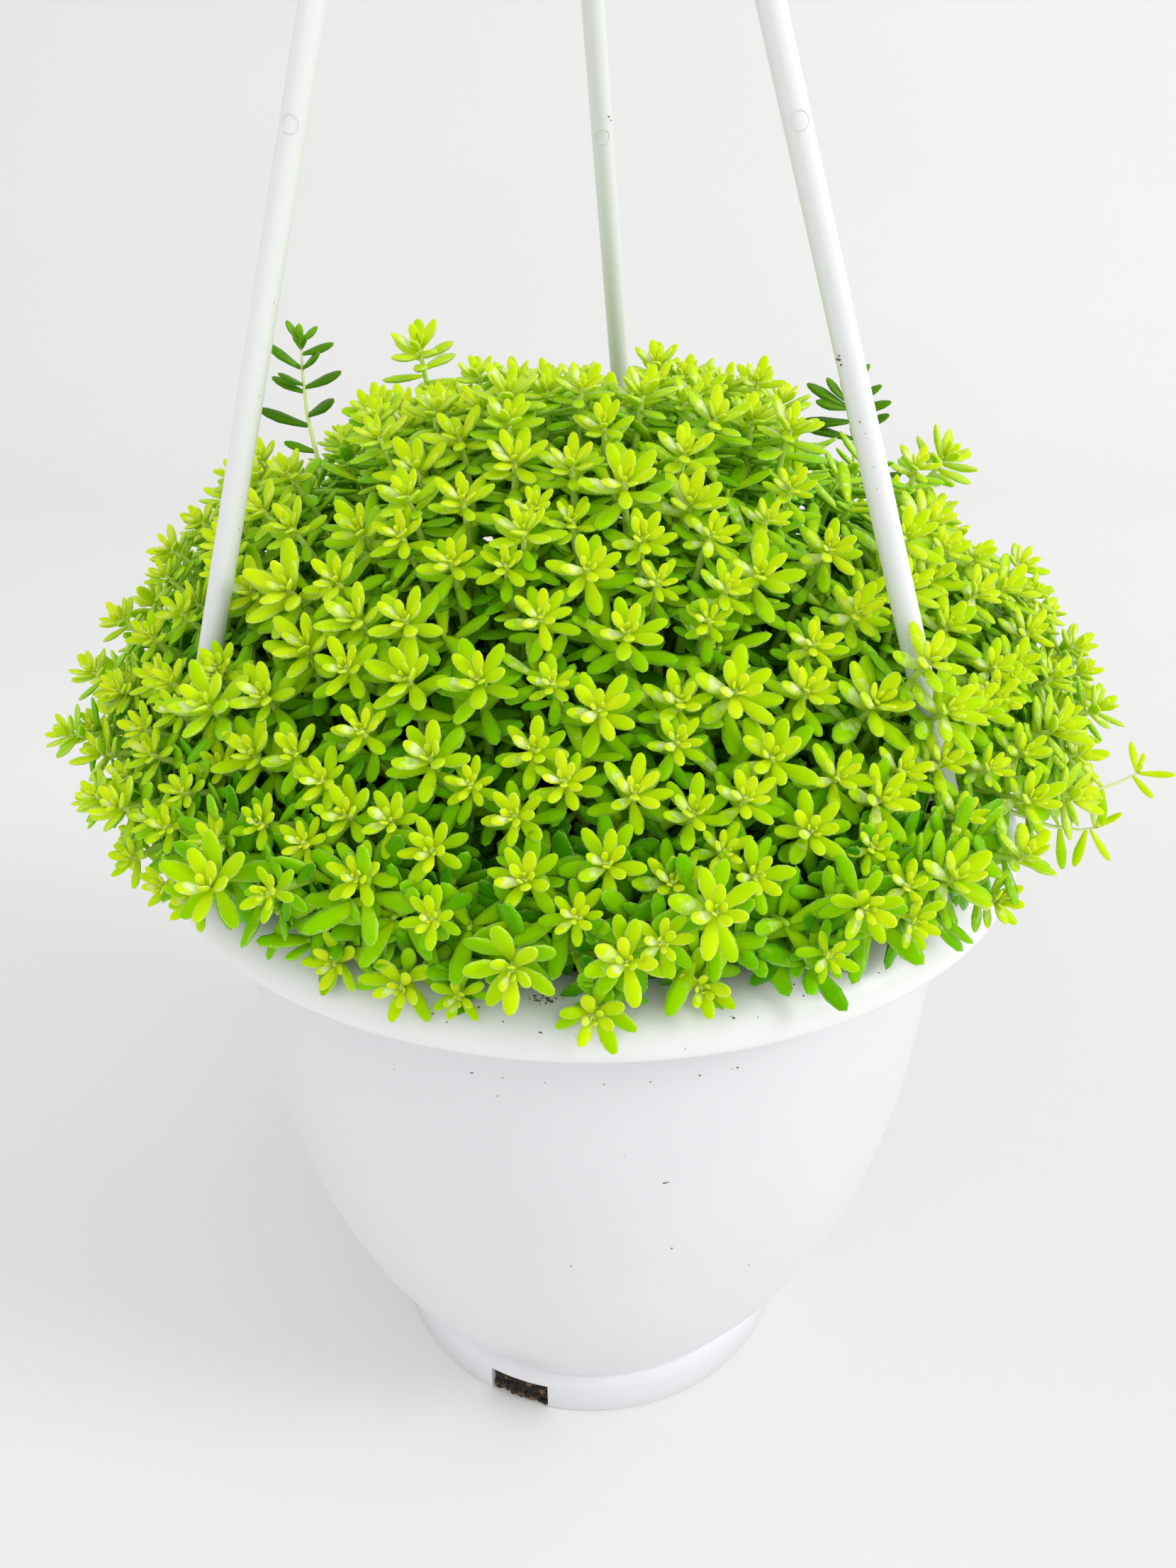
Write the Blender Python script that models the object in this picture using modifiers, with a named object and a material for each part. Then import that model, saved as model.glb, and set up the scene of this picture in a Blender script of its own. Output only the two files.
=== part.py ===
"""A potted stonecrop in a white three-armed hanging pot.

Metres, +Z up. The origin is on the pot's axis at the bottom of its foot, and the front of the pot
faces -Y. Angles are in degrees, counter-clockwise from +X seen from above.
"""
import math

import bmesh
import bpy
import numpy as np
from mathutils import Matrix, Vector

# General
GAP = 0.0003
FRONT = -90.0

# Pot: a foot ring, a flared wall and a rolled rim with a turned-down lip
POT_SIDES = 36
WALL = 0.0018
FOOT_RADIUS = 0.046
FOOT_HEIGHT = 0.010
FOOT_CHAMFER = 0.0005
FOOT_DRAFT = 0.0008
FLOOR_TOP = 0.0115
FLOOR_THICKNESS = 0.0020
BODY_LOW_RADIUS = 0.0443
BODY_TOP_RADIUS = 0.0704
BODY_TOP = 0.128
BODY_FLARE = 3.1
BODY_LEVELS = 4
BODY_SPACING = 0.35
RIM_RADIUS = 0.082
RIM_CENTRE_RADIUS = 0.0717
RIM_LOW = 0.1307
RIM_RISE = 0.0068
RIM_STEPS = 3
LIP = 0.0018

# Drainage: notches through the foot ring and round holes through the floor
NOTCH_ANGLES = [FRONT - 20.2 + 120.0 * k for k in range(3)]
NOTCH_WIDTH = 0.0133
NOTCH_HEIGHT = 0.0070
NOTCH_REACH = 0.012
DRAIN_RADIUS = 0.0035
DRAIN_CIRCLE = 0.028
DRAIN_COUNT = 6

# Hanger: three rods snapped into the rim and a hub with a hook
ROD_ANGLES = {"left": FRONT - 68.9, "right": FRONT + 51.1, "rear": FRONT + 171.1}
ROD_RADIUS = 0.0020
ROD_SEAT = Vector((0.0775, 0.0, 0.1390))
ROD_COLLAR = 0.0030
ROD_COLLAR_THICKNESS = 0.0013
ROD_NECK = 0.0015
ROD_HOLE = 0.0019
ROD_TOE = 0.0022
ROD_TOE_TOP = 0.1325
ROD_TOE_LOW = 0.1312
ROD_TOE_CHAMFER = 0.0006
ROD_COLLAR_CHAMFER = 0.0002
ROD_ROOT = 0.0010
HUB = Vector((-0.0096, -0.0004, 0.3701))
HUB_LOW = 0.3515
HUB_RINGS = ((0.0, 0.0105), (0.0008, 0.0112), (0.0075, 0.0095), (0.0130, 0.0050), (0.0165, 0.0026))
SOCKET_DEPTH = 0.0065
SOCKET_OVERSHOOT = 0.004
HOOK_RADIUS = 0.0130
HOOK_THICKNESS = 0.00225
HOOK_CENTRE = 0.3905
HOOK_START_ANGLE = 270.0
HOOK_END_ANGLE = -35.0
HOOK_STEPS = 12

# Soil
SOIL_SIDES = 24
SOIL_EDGE = 0.1275
SOIL_CROWN = 0.1310
SOIL_EDGE_DEPTH = 0.004
SOIL_SHOULDER = (0.6, 0.0008)
HOLE_OVERSHOOT = 0.006

# The mound that the leaf rosettes cover
MOUND_SIDE = 0.0945
MOUND_FRONT = 0.0875
MOUND_BACK = 0.0897
MOUND_APEX = 0.003
MOUND_TOP = 0.2095
MOUND_SHOULDER = 0.153
MOUND_SKIRT = 0.017
FRONT_POWER = 1.30
BACK_POWER = 0.35
ROSETTE_INSET = 0.0020

# Rosettes: stars of blunt, fleshy leaves on pale stems
SEED = 11
ROSETTES = 222
GOLDEN_ANGLE = 137.50776
ROSETTE_RADIUS = (0.0054, 0.0085)
ROSETTE_JITTER = 0.0005
ROSETTE_SHRINK = 0.0010
LEAF_COUNTS = (5, 6)
LEAF_TIP = 0.0022
LEAF_VALLEY = 0.0027
LEAF_LENGTHS = (0.84, 0.96)
LEAF_LIFTS = (-4.0, 20.0)
LEAF_LIFT_SPREAD = 6.0
BUD_HEIGHT = 0.0022
UNDERSIDE = 0.0008
STEM_RADIUS = 0.0009
STEM_REACH = 0.020
STEM_ATTACH = (0.76, 0.88)
LOOK_UP = 0.45

# Tufts: the groups of stems planted together, in two rings round a middle one
TUFT_SIDES = 10
HOLE_SIDES = 8
ROOT_RADIUS = 0.0033
ROOT_LOW = 0.1180
ROOT_NECK = 0.0160
HEAD_DEPTH = 0.0085
TUFT_RINGS = (
    # name, count, first angle from the left rod, root circle, place on the mound, core radius
    ("middle", 1, 0.0, 0.0, 0.0, 0.0166),
    ("inner", 6, 30.0, 0.025, 0.46, 0.0152),
    ("outer", 12, 15.0, 0.0483, 0.78, 0.0117),
)
# Each ring of the core from the top down: share of its length, share of its radius, leafiness
CORE_RINGS = ((0.98, 0.44, 0.8), (0.89, 0.86, 1.0), (0.76, 1.00, 1.0), (0.60, 0.88, 0.7),
              (0.46, 0.72, 0.5), (None, None, 0.0), (0.00, None, 0.0))
CORE_LEAF = 0.0026

# Longer shoots that stand out of the mound: place, the way that they face, rosette radius
LONG_SHOOTS = (
    (Vector((-0.036, 0.050, 0.2095)), Vector((-0.1, -0.3, 1.0)), 0.0060),
    (Vector((0.072, 0.036, 0.1945)), Vector((0.5, -0.2, 1.0)), 0.0072),
    (Vector((0.0935, -0.030, 0.1475)), Vector((1.0, -0.3, 0.9)), 0.0055),
    (Vector((0.0885, -0.040, 0.1370)), Vector((0.8, -0.6, 0.4)), 0.0055),
)

# Dark sprigs with leaves in opposite pairs: the points of the stem from the soil to the tip
DARK_SPRIGS = {
    "left": ((141.1, 0.042, 0.1190), (141.1, 0.060, 0.1500), (141.1, 0.0750, 0.1750),
             (141.0, 0.0785, 0.1900), (140.6, 0.0790, 0.2020), (140.3, 0.0785, 0.2125)),
    "right": ((51.1, 0.044, 0.1190), (51.1, 0.060, 0.1500), (51.1, 0.0735, 0.1750),
              (50.5, 0.0775, 0.1880), (49.5, 0.0785, 0.1960), (48.0, 0.0790, 0.2015)),
}
SPRIG_STEM = 0.0008
SPRIG_LEAF = 0.0078
SPRIG_LEAF_WIDTH = 0.0013
SPRIG_PITCH = 0.0058
SPRIG_TIP = 0.0006
SPRIG_LEAF_SINK = 0.0003
SPRIG_LOW_LEAF = 0.1850


def clear_scene():
    """Remove every object of the open scene."""
    for item in list(bpy.data.objects):
        bpy.data.objects.remove(item, do_unlink=True)


def collection(name):
    """A new collection in the scene."""
    group = bpy.data.collections.new(name)
    bpy.context.scene.collection.children.link(group)
    return group


def material(name, colour, roughness):
    """A Principled material of one colour."""
    finish = bpy.data.materials.new(name)
    finish.use_nodes = True
    finish.diffuse_color = (*colour, 1.0)
    shader = finish.node_tree.nodes["Principled BSDF"]
    shader.inputs["Base Color"].default_value = (*colour, 1.0)
    shader.inputs["Roughness"].default_value = roughness
    shader.inputs["Metallic"].default_value = 0.0
    return finish


def around(angle, radius, height):
    """The point at this angle and radius from the pot's axis."""
    turn = math.radians(angle)
    return Vector((radius * math.cos(turn), radius * math.sin(turn), height))


def place(name, mesh, group, finish=None):
    """An object for the mesh, in the collection."""
    item = bpy.data.objects.new(name, mesh)
    if finish is not None:
        mesh.materials.append(finish)
    group.objects.link(item)
    return item


def turned(name, profile, sides, group, finish=None):
    """A solid of revolution: the profile runs from the axis, down the outer side, back to the axis."""
    mesh = bpy.data.meshes.new(name)
    edges = [(k, k + 1) for k in range(len(profile) - 1)]
    mesh.from_pydata([(radius, 0.0, height) for radius, height in profile], edges, [])
    item = place(name, mesh, group, finish)
    screw = item.modifiers.new("Turn", "SCREW")
    screw.steps = sides
    screw.render_steps = sides
    screw.use_merge_vertices = True
    screw.merge_threshold = 0.00001
    return item


def from_bmesh(name, shape, group, finish=None):
    """An object made of the bmesh, which is freed."""
    mesh = bpy.data.meshes.new(name)
    shape.to_mesh(mesh)
    shape.free()
    return place(name, mesh, group, finish)


def aim(direction, spin=0.0):
    """A rotation that turns +Z to the direction, after a turn of spin degrees about +Z."""
    turn = direction.normalized().to_track_quat("Z", "Y").to_matrix().to_4x4()
    return turn @ Matrix.Rotation(math.radians(spin), 4, "Z")


def rod_between(name, start, end, radius, sides, group, top_radius=None):
    """A straight round bar from start to end."""
    shape = bmesh.new()
    length = (end - start).length
    bmesh.ops.create_cone(shape, cap_ends=True, segments=sides, radius1=radius,
                          radius2=radius if top_radius is None else top_radius, depth=length)
    item = from_bmesh(name, shape, group)
    item.matrix_world = Matrix.Translation((start + end) / 2) @ aim(end - start)
    return item


def swept(name, points, radii, resolution, group, finish=None):
    """A tube through the points, thick as the radii say, as a welded mesh."""
    curve = bpy.data.curves.new(name, "CURVE")
    curve.dimensions = "3D"
    curve.bevel_depth = 1.0
    curve.bevel_resolution = resolution
    curve.resolution_u = 1
    curve.render_resolution_u = 0
    curve.use_fill_caps = True
    spline = curve.splines.new("POLY")
    spline.points.add(len(points) - 1)
    for knot, point, radius in zip(spline.points, points, radii):
        knot.co = (*point, 1.0)
        knot.radius = radius
    guide = bpy.data.objects.new(name + "_path", curve)
    group.objects.link(guide)
    bpy.context.view_layer.update()
    graph = bpy.context.evaluated_depsgraph_get()
    mesh = bpy.data.meshes.new_from_object(guide.evaluated_get(graph))
    bpy.data.objects.remove(guide, do_unlink=True)
    shape = bmesh.new()
    shape.from_mesh(mesh)
    bmesh.ops.remove_doubles(shape, verts=shape.verts, dist=0.00001)
    shape.to_mesh(mesh)
    shape.free()
    mesh.materials.clear()
    return place(name, mesh, group, finish)


def cut(item, cutters):
    """Take every solid of the cutters' collection away from the item."""
    for cutter in cutters.objects:
        cutter.hide_render = True
        cutter.display_type = "WIRE"
    boolean = item.modifiers.new("Cut", "BOOLEAN")
    boolean.operation = "DIFFERENCE"
    boolean.operand_type = "COLLECTION"
    boolean.collection = cutters


def keep_largest(mesh):
    """Drop loose scraps and sealed hollows: every separate surface but the one with most faces."""
    shape = bmesh.new()
    shape.from_mesh(mesh)
    left = set(shape.faces)
    surfaces = []
    while left:
        surface = set()
        reached = [left.pop()]
        while reached:
            face = reached.pop()
            surface.add(face)
            for edge in face.edges:
                for other in edge.link_faces:
                    if other in left:
                        left.remove(other)
                        reached.append(other)
        surfaces.append(surface)
    surfaces.sort(key=len)
    for surface in surfaces[:-1]:
        bmesh.ops.delete(shape, geom=list(surface), context="FACES")
    shape.to_mesh(mesh)
    shape.free()


def fuse(item, pieces):
    """Join every solid of the collection to the item, for good, and remove the collection."""
    boolean = item.modifiers.new("Join", "BOOLEAN")
    boolean.operation = "UNION"
    boolean.operand_type = "COLLECTION"
    boolean.solver = "EXACT"
    boolean.collection = pieces
    bpy.context.view_layer.update()
    graph = bpy.context.evaluated_depsgraph_get()
    mesh = bpy.data.meshes.new_from_object(item.evaluated_get(graph))
    keep_largest(mesh)
    item.modifiers.clear()
    item.data = mesh
    for piece in list(pieces.objects):
        bpy.data.objects.remove(piece, do_unlink=True)
    bpy.data.collections.remove(pieces)


def smooth(item, degrees=35.0):
    """Smooth shading, with edges sharper than the angle kept."""
    item.data.shade_smooth()
    item.data.set_sharp_from_angle(angle=math.radians(degrees))


def body_radius(height):
    """The pot's outer radius: it flares fast above the foot and is nearly upright at the top."""
    share = (height - FOOT_HEIGHT) / (BODY_TOP - FOOT_HEIGHT)
    swell = 1.0 - (1.0 - share) ** BODY_FLARE
    return BODY_LOW_RADIUS + (BODY_TOP_RADIUS - BODY_LOW_RADIUS) * swell


def body_heights():
    """Heights up the wall, closer together low down, where it curves most."""
    steps = [k / BODY_LEVELS for k in range(BODY_LEVELS + 1)]
    return [FOOT_HEIGHT + (BODY_TOP - FOOT_HEIGHT) * (BODY_SPACING * s + (1.0 - BODY_SPACING) * s * s)
            for s in steps]


def rim_arc(width, rise, first, last):
    """Points on the rim's quarter ellipse, between two angles from the horizontal."""
    angles = [math.radians(first + (last - first) * k / RIM_STEPS) for k in range(RIM_STEPS + 1)]
    return [(RIM_CENTRE_RADIUS + width * math.cos(a), RIM_LOW + rise * math.sin(a)) for a in angles]


def pot(group, cutters, finish):
    """The turned shell, with notches in its foot, drain holes and three holes in the rim."""
    levels = body_heights()
    inner = [(body_radius(z) - WALL, z) for z in levels[1:]]
    rim_width = RIM_RADIUS - RIM_CENTRE_RADIUS
    over = rim_arc(rim_width, RIM_RISE, 100.0, 0.0)
    under = rim_arc(rim_width - LIP, RIM_RISE - LIP, 0.0, 80.0)
    outer = [(body_radius(z), z) for z in reversed(levels)]
    foot_inner = FOOT_RADIUS - WALL - FOOT_CHAMFER
    floor_low = FLOOR_TOP - FLOOR_THICKNESS
    profile = [(0.0, FLOOR_TOP), (BODY_LOW_RADIUS - WALL, FLOOR_TOP)]
    profile += inner + over + under + outer
    profile += [(FOOT_RADIUS - FOOT_CHAMFER, FOOT_HEIGHT - FOOT_CHAMFER),
                (FOOT_RADIUS, FOOT_CHAMFER), (FOOT_RADIUS - FOOT_CHAMFER, 0.0), (foot_inner, 0.0),
                (foot_inner - FOOT_DRAFT, floor_low), (0.0, floor_low)]
    item = turned("pot", profile, POT_SIDES, group, finish)
    for k, angle in enumerate(NOTCH_ANGLES):
        shape = bmesh.new()
        bmesh.ops.create_cube(shape, size=1.0)
        bmesh.ops.scale(shape, verts=shape.verts, vec=(NOTCH_REACH, NOTCH_WIDTH, 2 * NOTCH_HEIGHT))
        notch = from_bmesh(f"notch_{k}", shape, cutters)
        notch.matrix_world = (Matrix.Translation(around(angle, FOOT_RADIUS, 0.0))
                              @ Matrix.Rotation(math.radians(angle), 4, "Z"))
    for k in range(DRAIN_COUNT):
        middle = around(360.0 * k / DRAIN_COUNT, DRAIN_CIRCLE, FLOOR_TOP)
        reach = Vector((0.0, 0.0, 2 * FLOOR_THICKNESS))
        rod_between(f"drain_{k}", middle - reach, middle + reach, DRAIN_RADIUS, 8, cutters)
    for name, angle in ROD_ANGLES.items():
        middle = around(angle, ROD_SEAT.x, RIM_LOW + RIM_RISE - LIP)
        reach = Vector((0.0, 0.0, 3 * LIP))
        rod_between(f"rod_hole_{name}", middle - reach, middle + reach, ROD_HOLE, 8, cutters)
    cut(item, cutters)
    smooth(item)
    return item


def soil(group, cutters, finish, roots):
    """The potting mix, with a plain hole for each root."""
    levels = [z for z in body_heights()[1:] if z < SOIL_EDGE - SOIL_EDGE_DEPTH]
    side = [(body_radius(z) - WALL - GAP, z) for z in reversed(levels)]
    top_radius = body_radius(SOIL_EDGE) - WALL - GAP
    share, drop = SOIL_SHOULDER
    profile = [(0.0, SOIL_CROWN), (share * top_radius, SOIL_CROWN - drop), (top_radius, SOIL_EDGE)]
    profile += side
    profile += [(BODY_LOW_RADIUS - WALL - 2 * GAP, FLOOR_TOP + GAP), (0.0, FLOOR_TOP + GAP)]
    item = turned("soil", profile, SOIL_SIDES, group, finish)
    for k, (low, way, radius) in enumerate(roots):
        start = low - way * GAP
        end = start + way * (SOIL_CROWN + HOLE_OVERSHOOT - start.z) / way.z
        rod_between(f"root_hole_{k}", start, end, radius, HOLE_SIDES, cutters)
    cut(item, cutters)
    return item


def hanger(group, cutters, finish):
    """Three straight rods that snap into the rim, and the hub with its hook."""
    ends = []
    for name, angle in ROD_ANGLES.items():
        seat = around(angle, ROD_SEAT.x, ROD_SEAT.z)
        way = (HUB - seat).normalized()
        top = seat + way * ((HUB_LOW + SOCKET_DEPTH - GAP - seat.z) / way.z)
        ends.append((seat, way))
        foot = [Vector((seat.x, seat.y, z)) for z in (
            ROD_TOE_LOW, ROD_TOE_TOP - ROD_TOE_CHAMFER, ROD_TOE_TOP,
            seat.z - ROD_COLLAR_THICKNESS - ROD_COLLAR_CHAMFER, seat.z - ROD_COLLAR_THICKNESS,
            seat.z)]
        radii = [ROD_TOE - ROD_TOE_CHAMFER, ROD_TOE, ROD_NECK, ROD_NECK, ROD_COLLAR, ROD_COLLAR]
        points = foot + [seat + way * ROD_ROOT, top]
        radii += [ROD_RADIUS, ROD_RADIUS]
        rod = swept(f"hanger_rod_{name}", points, radii, 2, group, finish)
        smooth(rod)
    points = [Vector((HUB.x, HUB.y, HUB_LOW + rise)) for rise, _ in HUB_RINGS]
    radii = [radius for _, radius in HUB_RINGS]
    middle = Vector((HUB.x, HUB.y, HOOK_CENTRE))
    for k in range(HOOK_STEPS + 1):
        turn = math.radians(HOOK_START_ANGLE + (HOOK_END_ANGLE - HOOK_START_ANGLE) * k / HOOK_STEPS)
        points.append(middle + HOOK_RADIUS * Vector((math.cos(turn), 0.0, math.sin(turn))))
        radii.append(HOOK_THICKNESS)
    hook = swept("hanger_hook", points, radii, 3, group, finish)
    for k, (seat, way) in enumerate(ends):
        start = seat + way * ((HUB_LOW - SOCKET_OVERSHOOT - seat.z) / way.z)
        end = seat + way * ((HUB_LOW + SOCKET_DEPTH - seat.z) / way.z)
        rod_between(f"socket_{k}", start, end, ROD_RADIUS + GAP, 12, cutters)
    cut(hook, cutters)
    smooth(hook)


def mound(share, angle):
    """A point of the mound. The share is 0 at its top, 1 at its shoulder and 2 at the skirt's hem.

    In plan it is two half ellipses. Above the shoulder the height falls off as a power of
    1 - share squared: a broad shoulder at the back and a gentle slope at the front.
    """
    turn = math.radians(angle)
    depth = MOUND_FRONT if math.sin(turn) < 0 else MOUND_BACK
    reach = 1.0 / math.hypot(math.cos(turn) / MOUND_SIDE, math.sin(turn) / depth)
    out = min(share, 1.0)
    x = reach * math.cos(turn) * out
    y = MOUND_APEX + (reach * math.sin(turn) - MOUND_APEX) * out
    front = 0.5 - 0.5 * max(-1.0, min(1.0, 1.6 * math.sin(turn)))
    power = BACK_POWER + (FRONT_POWER - BACK_POWER) * front
    if share <= 1.0:
        z = MOUND_SHOULDER + (MOUND_TOP - MOUND_SHOULDER) * (1.0 - out * out) ** power
    else:
        z = MOUND_SHOULDER - MOUND_SKIRT * (share - 1.0)
    return Vector((x, y, z))


def mound_normal(share, angle):
    """The direction out of the mound there, from two short steps along it."""
    step = 0.01
    low = max(share - step, 0.02)
    down = mound(min(low + 2 * step, 2.0), angle) - mound(low, angle)
    along = mound(max(share, 0.02), angle + 1.0) - mound(max(share, 0.02), angle - 1.0)
    normal = down.cross(along)
    return normal.normalized()


def share_for_area(part, angle):
    """The share on this line from the top within which this part of the line's area lies."""
    shares = np.linspace(0.0, 2.0, 161)
    points = np.array([mound(s, angle) for s in shares])
    steps = np.linalg.norm(np.diff(points, axis=0), axis=1)
    radius = np.hypot(points[:, 0], points[:, 1] - MOUND_APEX * (1 - np.minimum(shares, 1.0)))
    area = np.concatenate([[0.0], np.cumsum(steps * (radius[1:] + radius[:-1]) / 2)])
    return float(np.interp(part * area[-1], area, shares))


def clear_of_rods(point, distance):
    """Whether the point is at least this far from every rod's middle line."""
    for angle in ROD_ANGLES.values():
        seat = around(angle, ROD_SEAT.x, ROD_SEAT.z)
        way = (HUB - seat).normalized()
        if (point - seat).cross(way).length < distance:
            return False
    return True


def sprig_path(knots):
    """The points of a sprig's stem."""
    return [around(*knot) for knot in knots]


def clear_of_sprigs(point, distance):
    """Whether the point is at least this far from the dark sprigs' stems and leaves."""
    for knots in DARK_SPRIGS.values():
        path = sprig_path(knots)
        for start, end in zip(path, path[1:]):
            along = max(0.0, min(1.0, (point - start).dot(end - start) / (end - start).length_squared))
            nearest = start.lerp(end, along)
            leafy = nearest.z > SPRIG_LOW_LEAF - SPRIG_PITCH
            if (nearest - point).length < distance + (SPRIG_LEAF if leafy else 0.0):
                return False
    return True


def rosette_places(rng):
    """Where the rosettes sit: a sunflower spiral over the mound in equal areas, a little shaken."""
    places = []
    for middle, facing, radius in LONG_SHOOTS:
        places.append((middle, facing.normalized(), radius))
    for k in range(ROSETTES):
        angle = (GOLDEN_ANGLE * k) % 360.0
        share = share_for_area((k + 0.5) / ROSETTES, angle)
        normal = mound_normal(share, angle)
        shake = Vector(rng.uniform(-ROSETTE_JITTER, ROSETTE_JITTER, 3).tolist())
        middle = mound(share, angle) - normal * ROSETTE_INSET + shake
        facing = (normal + LOOK_UP * Vector((0.0, 0.0, 1.0))).normalized()
        room = min((middle - other).length - reach - GAP for other, _, reach in places)
        radius = min(ROSETTE_RADIUS[1] - ROSETTE_SHRINK * rng.uniform(), room)
        if radius < ROSETTE_RADIUS[0] or not clear_of_rods(middle, radius + ROD_RADIUS + GAP):
            continue
        if clear_of_sprigs(middle, radius + SPRIG_STEM + GAP):
            places.append((middle, facing, radius))
    return places


def rosette(name, middle, facing, radius, rng, group):
    """A star of blunt leaves: a low cone whose foot is drawn in at a notch between each two leaves."""
    leaves = int(rng.integers(LEAF_COUNTS[0], LEAF_COUNTS[1] + 1))
    lengths = [radius * rng.uniform(*LEAF_LENGTHS) for _ in range(leaves)]
    lifts = [math.radians(LEAF_LIFTS[leaf % 2] + rng.uniform(-LEAF_LIFT_SPREAD, LEAF_LIFT_SPREAD))
             for leaf in range(leaves)]
    shape = bmesh.new()
    bmesh.ops.create_cone(shape, cap_ends=True, segments=3 * leaves, radius1=1.0, radius2=0.0,
                          depth=BUD_HEIGHT)
    foot = sorted((vertex for vertex in shape.verts if vertex.co.z < 0),
                  key=lambda vertex: math.atan2(vertex.co.y, vertex.co.x))
    for vertex in shape.verts:
        vertex.co = (0.0, 0.0, BUD_HEIGHT)
    for k, vertex in enumerate(foot):
        leaf, role = divmod(k, 3)
        if role == 0:
            vertex.co = around(360.0 * (leaf - 0.5) / leaves, LEAF_VALLEY, -UNDERSIDE)
            continue
        angle = 360.0 * leaf / leaves
        tip = around(angle, lengths[leaf] * math.cos(lifts[leaf]), lengths[leaf] * math.sin(lifts[leaf]))
        vertex.co = tip + around(angle + (90.0 if role == 2 else -90.0), LEAF_TIP, 0.0)
    bmesh.ops.connect_verts(shape, verts=foot[::3])
    item = from_bmesh(name, shape, group)
    item.matrix_world = Matrix.Translation(middle) @ aim(facing, rng.uniform(0.0, 360.0))
    return item


def tufts():
    """Each tuft's name, root point, head point and core radius."""
    made = []
    for ring, count, first, root_circle, share, radius in TUFT_RINGS:
        for k in range(count):
            angle = ROD_ANGLES["left"] + first + 360.0 * k / count
            name = f"tuft_{ring}_{k + 1:02d}" if count > 1 else f"tuft_{ring}"
            head = mound(share, angle) - Vector((0.0, 0.0, HEAD_DEPTH))
            made.append((name, around(angle, root_circle, ROOT_LOW), head, radius))
    return made


def tuft_core(name, root, head, radius, group, finish):
    """The dense inner growth: a root in the soil, and a head whose points are the lower leaves."""
    length = (head - root).length
    shape = bmesh.new()
    rings = len(CORE_RINGS) + 1
    bmesh.ops.create_uvsphere(shape, u_segments=TUFT_SIDES, v_segments=rings, radius=1.0)
    for vertex in shape.verts:
        ring = round(math.acos(max(-1.0, min(1.0, vertex.co.z))) / math.pi * rings)
        if ring in (0, rings):
            vertex.co = (0.0, 0.0, length if ring == 0 else 0.0)
            continue
        height, width, leafiness = CORE_RINGS[ring - 1]
        height = ROOT_NECK / length if height is None else height
        turn = math.atan2(vertex.co.y, vertex.co.x)
        column = round(turn / (2 * math.pi) * TUFT_SIDES)
        point = CORE_LEAF * leafiness * (1.0 if (column + ring) % 2 else -1.0)
        reach = ROOT_RADIUS if width is None else width * radius + point
        vertex.co = (reach * math.cos(turn), reach * math.sin(turn), height * length + 1.2 * point)
    item = from_bmesh(name, shape, group, finish)
    item.matrix_world = Matrix.Translation(root) @ aim(head - root)
    return item


def foliage(group, finish):
    """The tufts, each with the rosettes nearest to its head, on stems out of its core."""
    rng = np.random.default_rng(SEED)
    places = rosette_places(rng)
    heads = tufts()
    for index, (name, root, head, radius) in enumerate(heads):
        core = tuft_core(name, root, head, radius, group, finish)
        pieces = collection(name + "_pieces")
        axis = (head - root).normalized()
        for k, (middle, facing, reach) in enumerate(places):
            nearest = min(range(len(heads)), key=lambda n: (heads[n][2] - middle).length)
            if nearest != index:
                continue
            rosette(f"{name}_rosette_{k}", middle, facing, reach, rng, pieces)
            below = middle - facing * STEM_REACH
            height = (below - root).dot(axis)
            length = (head - root).length
            height = max(STEM_ATTACH[0] * length, min(STEM_ATTACH[1] * length, height))
            rod_between(f"{name}_stem_{k}", root + axis * height, middle, 1.25 * STEM_RADIUS, 3,
                        pieces, STEM_RADIUS)
        fuse(core, pieces)


def sprig_leaf(name, base, way, length, width, group):
    """One oblong fleshy leaf, narrow at its foot."""
    shape = bmesh.new()
    bmesh.ops.create_uvsphere(shape, u_segments=4, v_segments=3, radius=1.0)
    for vertex in shape.verts:
        along = (vertex.co.z + 1.0) / 2.0
        if abs(vertex.co.z) < 0.9:
            fat = 0.62 if vertex.co.z < 0 else 1.0
            flat = Vector((vertex.co.x, vertex.co.y)).normalized()
            along = 0.30 if vertex.co.z < 0 else 0.80
            vertex.co = (flat.x * width * fat, flat.y * 0.55 * width * fat, along * length)
        else:
            vertex.co = (0.0, 0.0, along * length)
    item = from_bmesh(name, shape, group)
    item.matrix_world = Matrix.Translation(base) @ aim(way)
    return item


def dark_sprig(side, knots, group, finish):
    """A tall stem with opposite pairs of leaves, each pair turned a quarter from the last."""
    path = sprig_path(knots)
    radii = [SPRIG_STEM * (1.15 - 0.35 * k / (len(path) - 1)) for k in range(len(path))]
    item = swept(f"dark_sprig_{side}", path, radii, 0, group, finish)
    pieces = collection(f"dark_sprig_{side}_pieces")
    tip = path[-1]
    pairs = int((tip.z - SPRIG_LOW_LEAF) / SPRIG_PITCH) + 1
    for pair in range(pairs):
        height = tip.z - SPRIG_TIP - pair * SPRIG_PITCH
        upper = next(k for k in range(1, len(path)) if path[k].z >= height)
        start, end = path[upper - 1], path[upper]
        base = start.lerp(end, (height - start.z) / (end.z - start.z))
        length = SPRIG_LEAF * (0.72 if pair == 0 else 1.0)
        rise = 1.1 if pair == 0 else 0.45
        for turn in (0.0, 180.0):
            out = around(turn + 90.0 * pair + 10.0, 1.0, rise)
            sprig_leaf(f"leaf_{side}_{pair}_{turn:.0f}", base - out.normalized() * SPRIG_LEAF_SINK, out,
                       length, SPRIG_LEAF_WIDTH, pieces)
    fuse(item, pieces)


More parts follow.
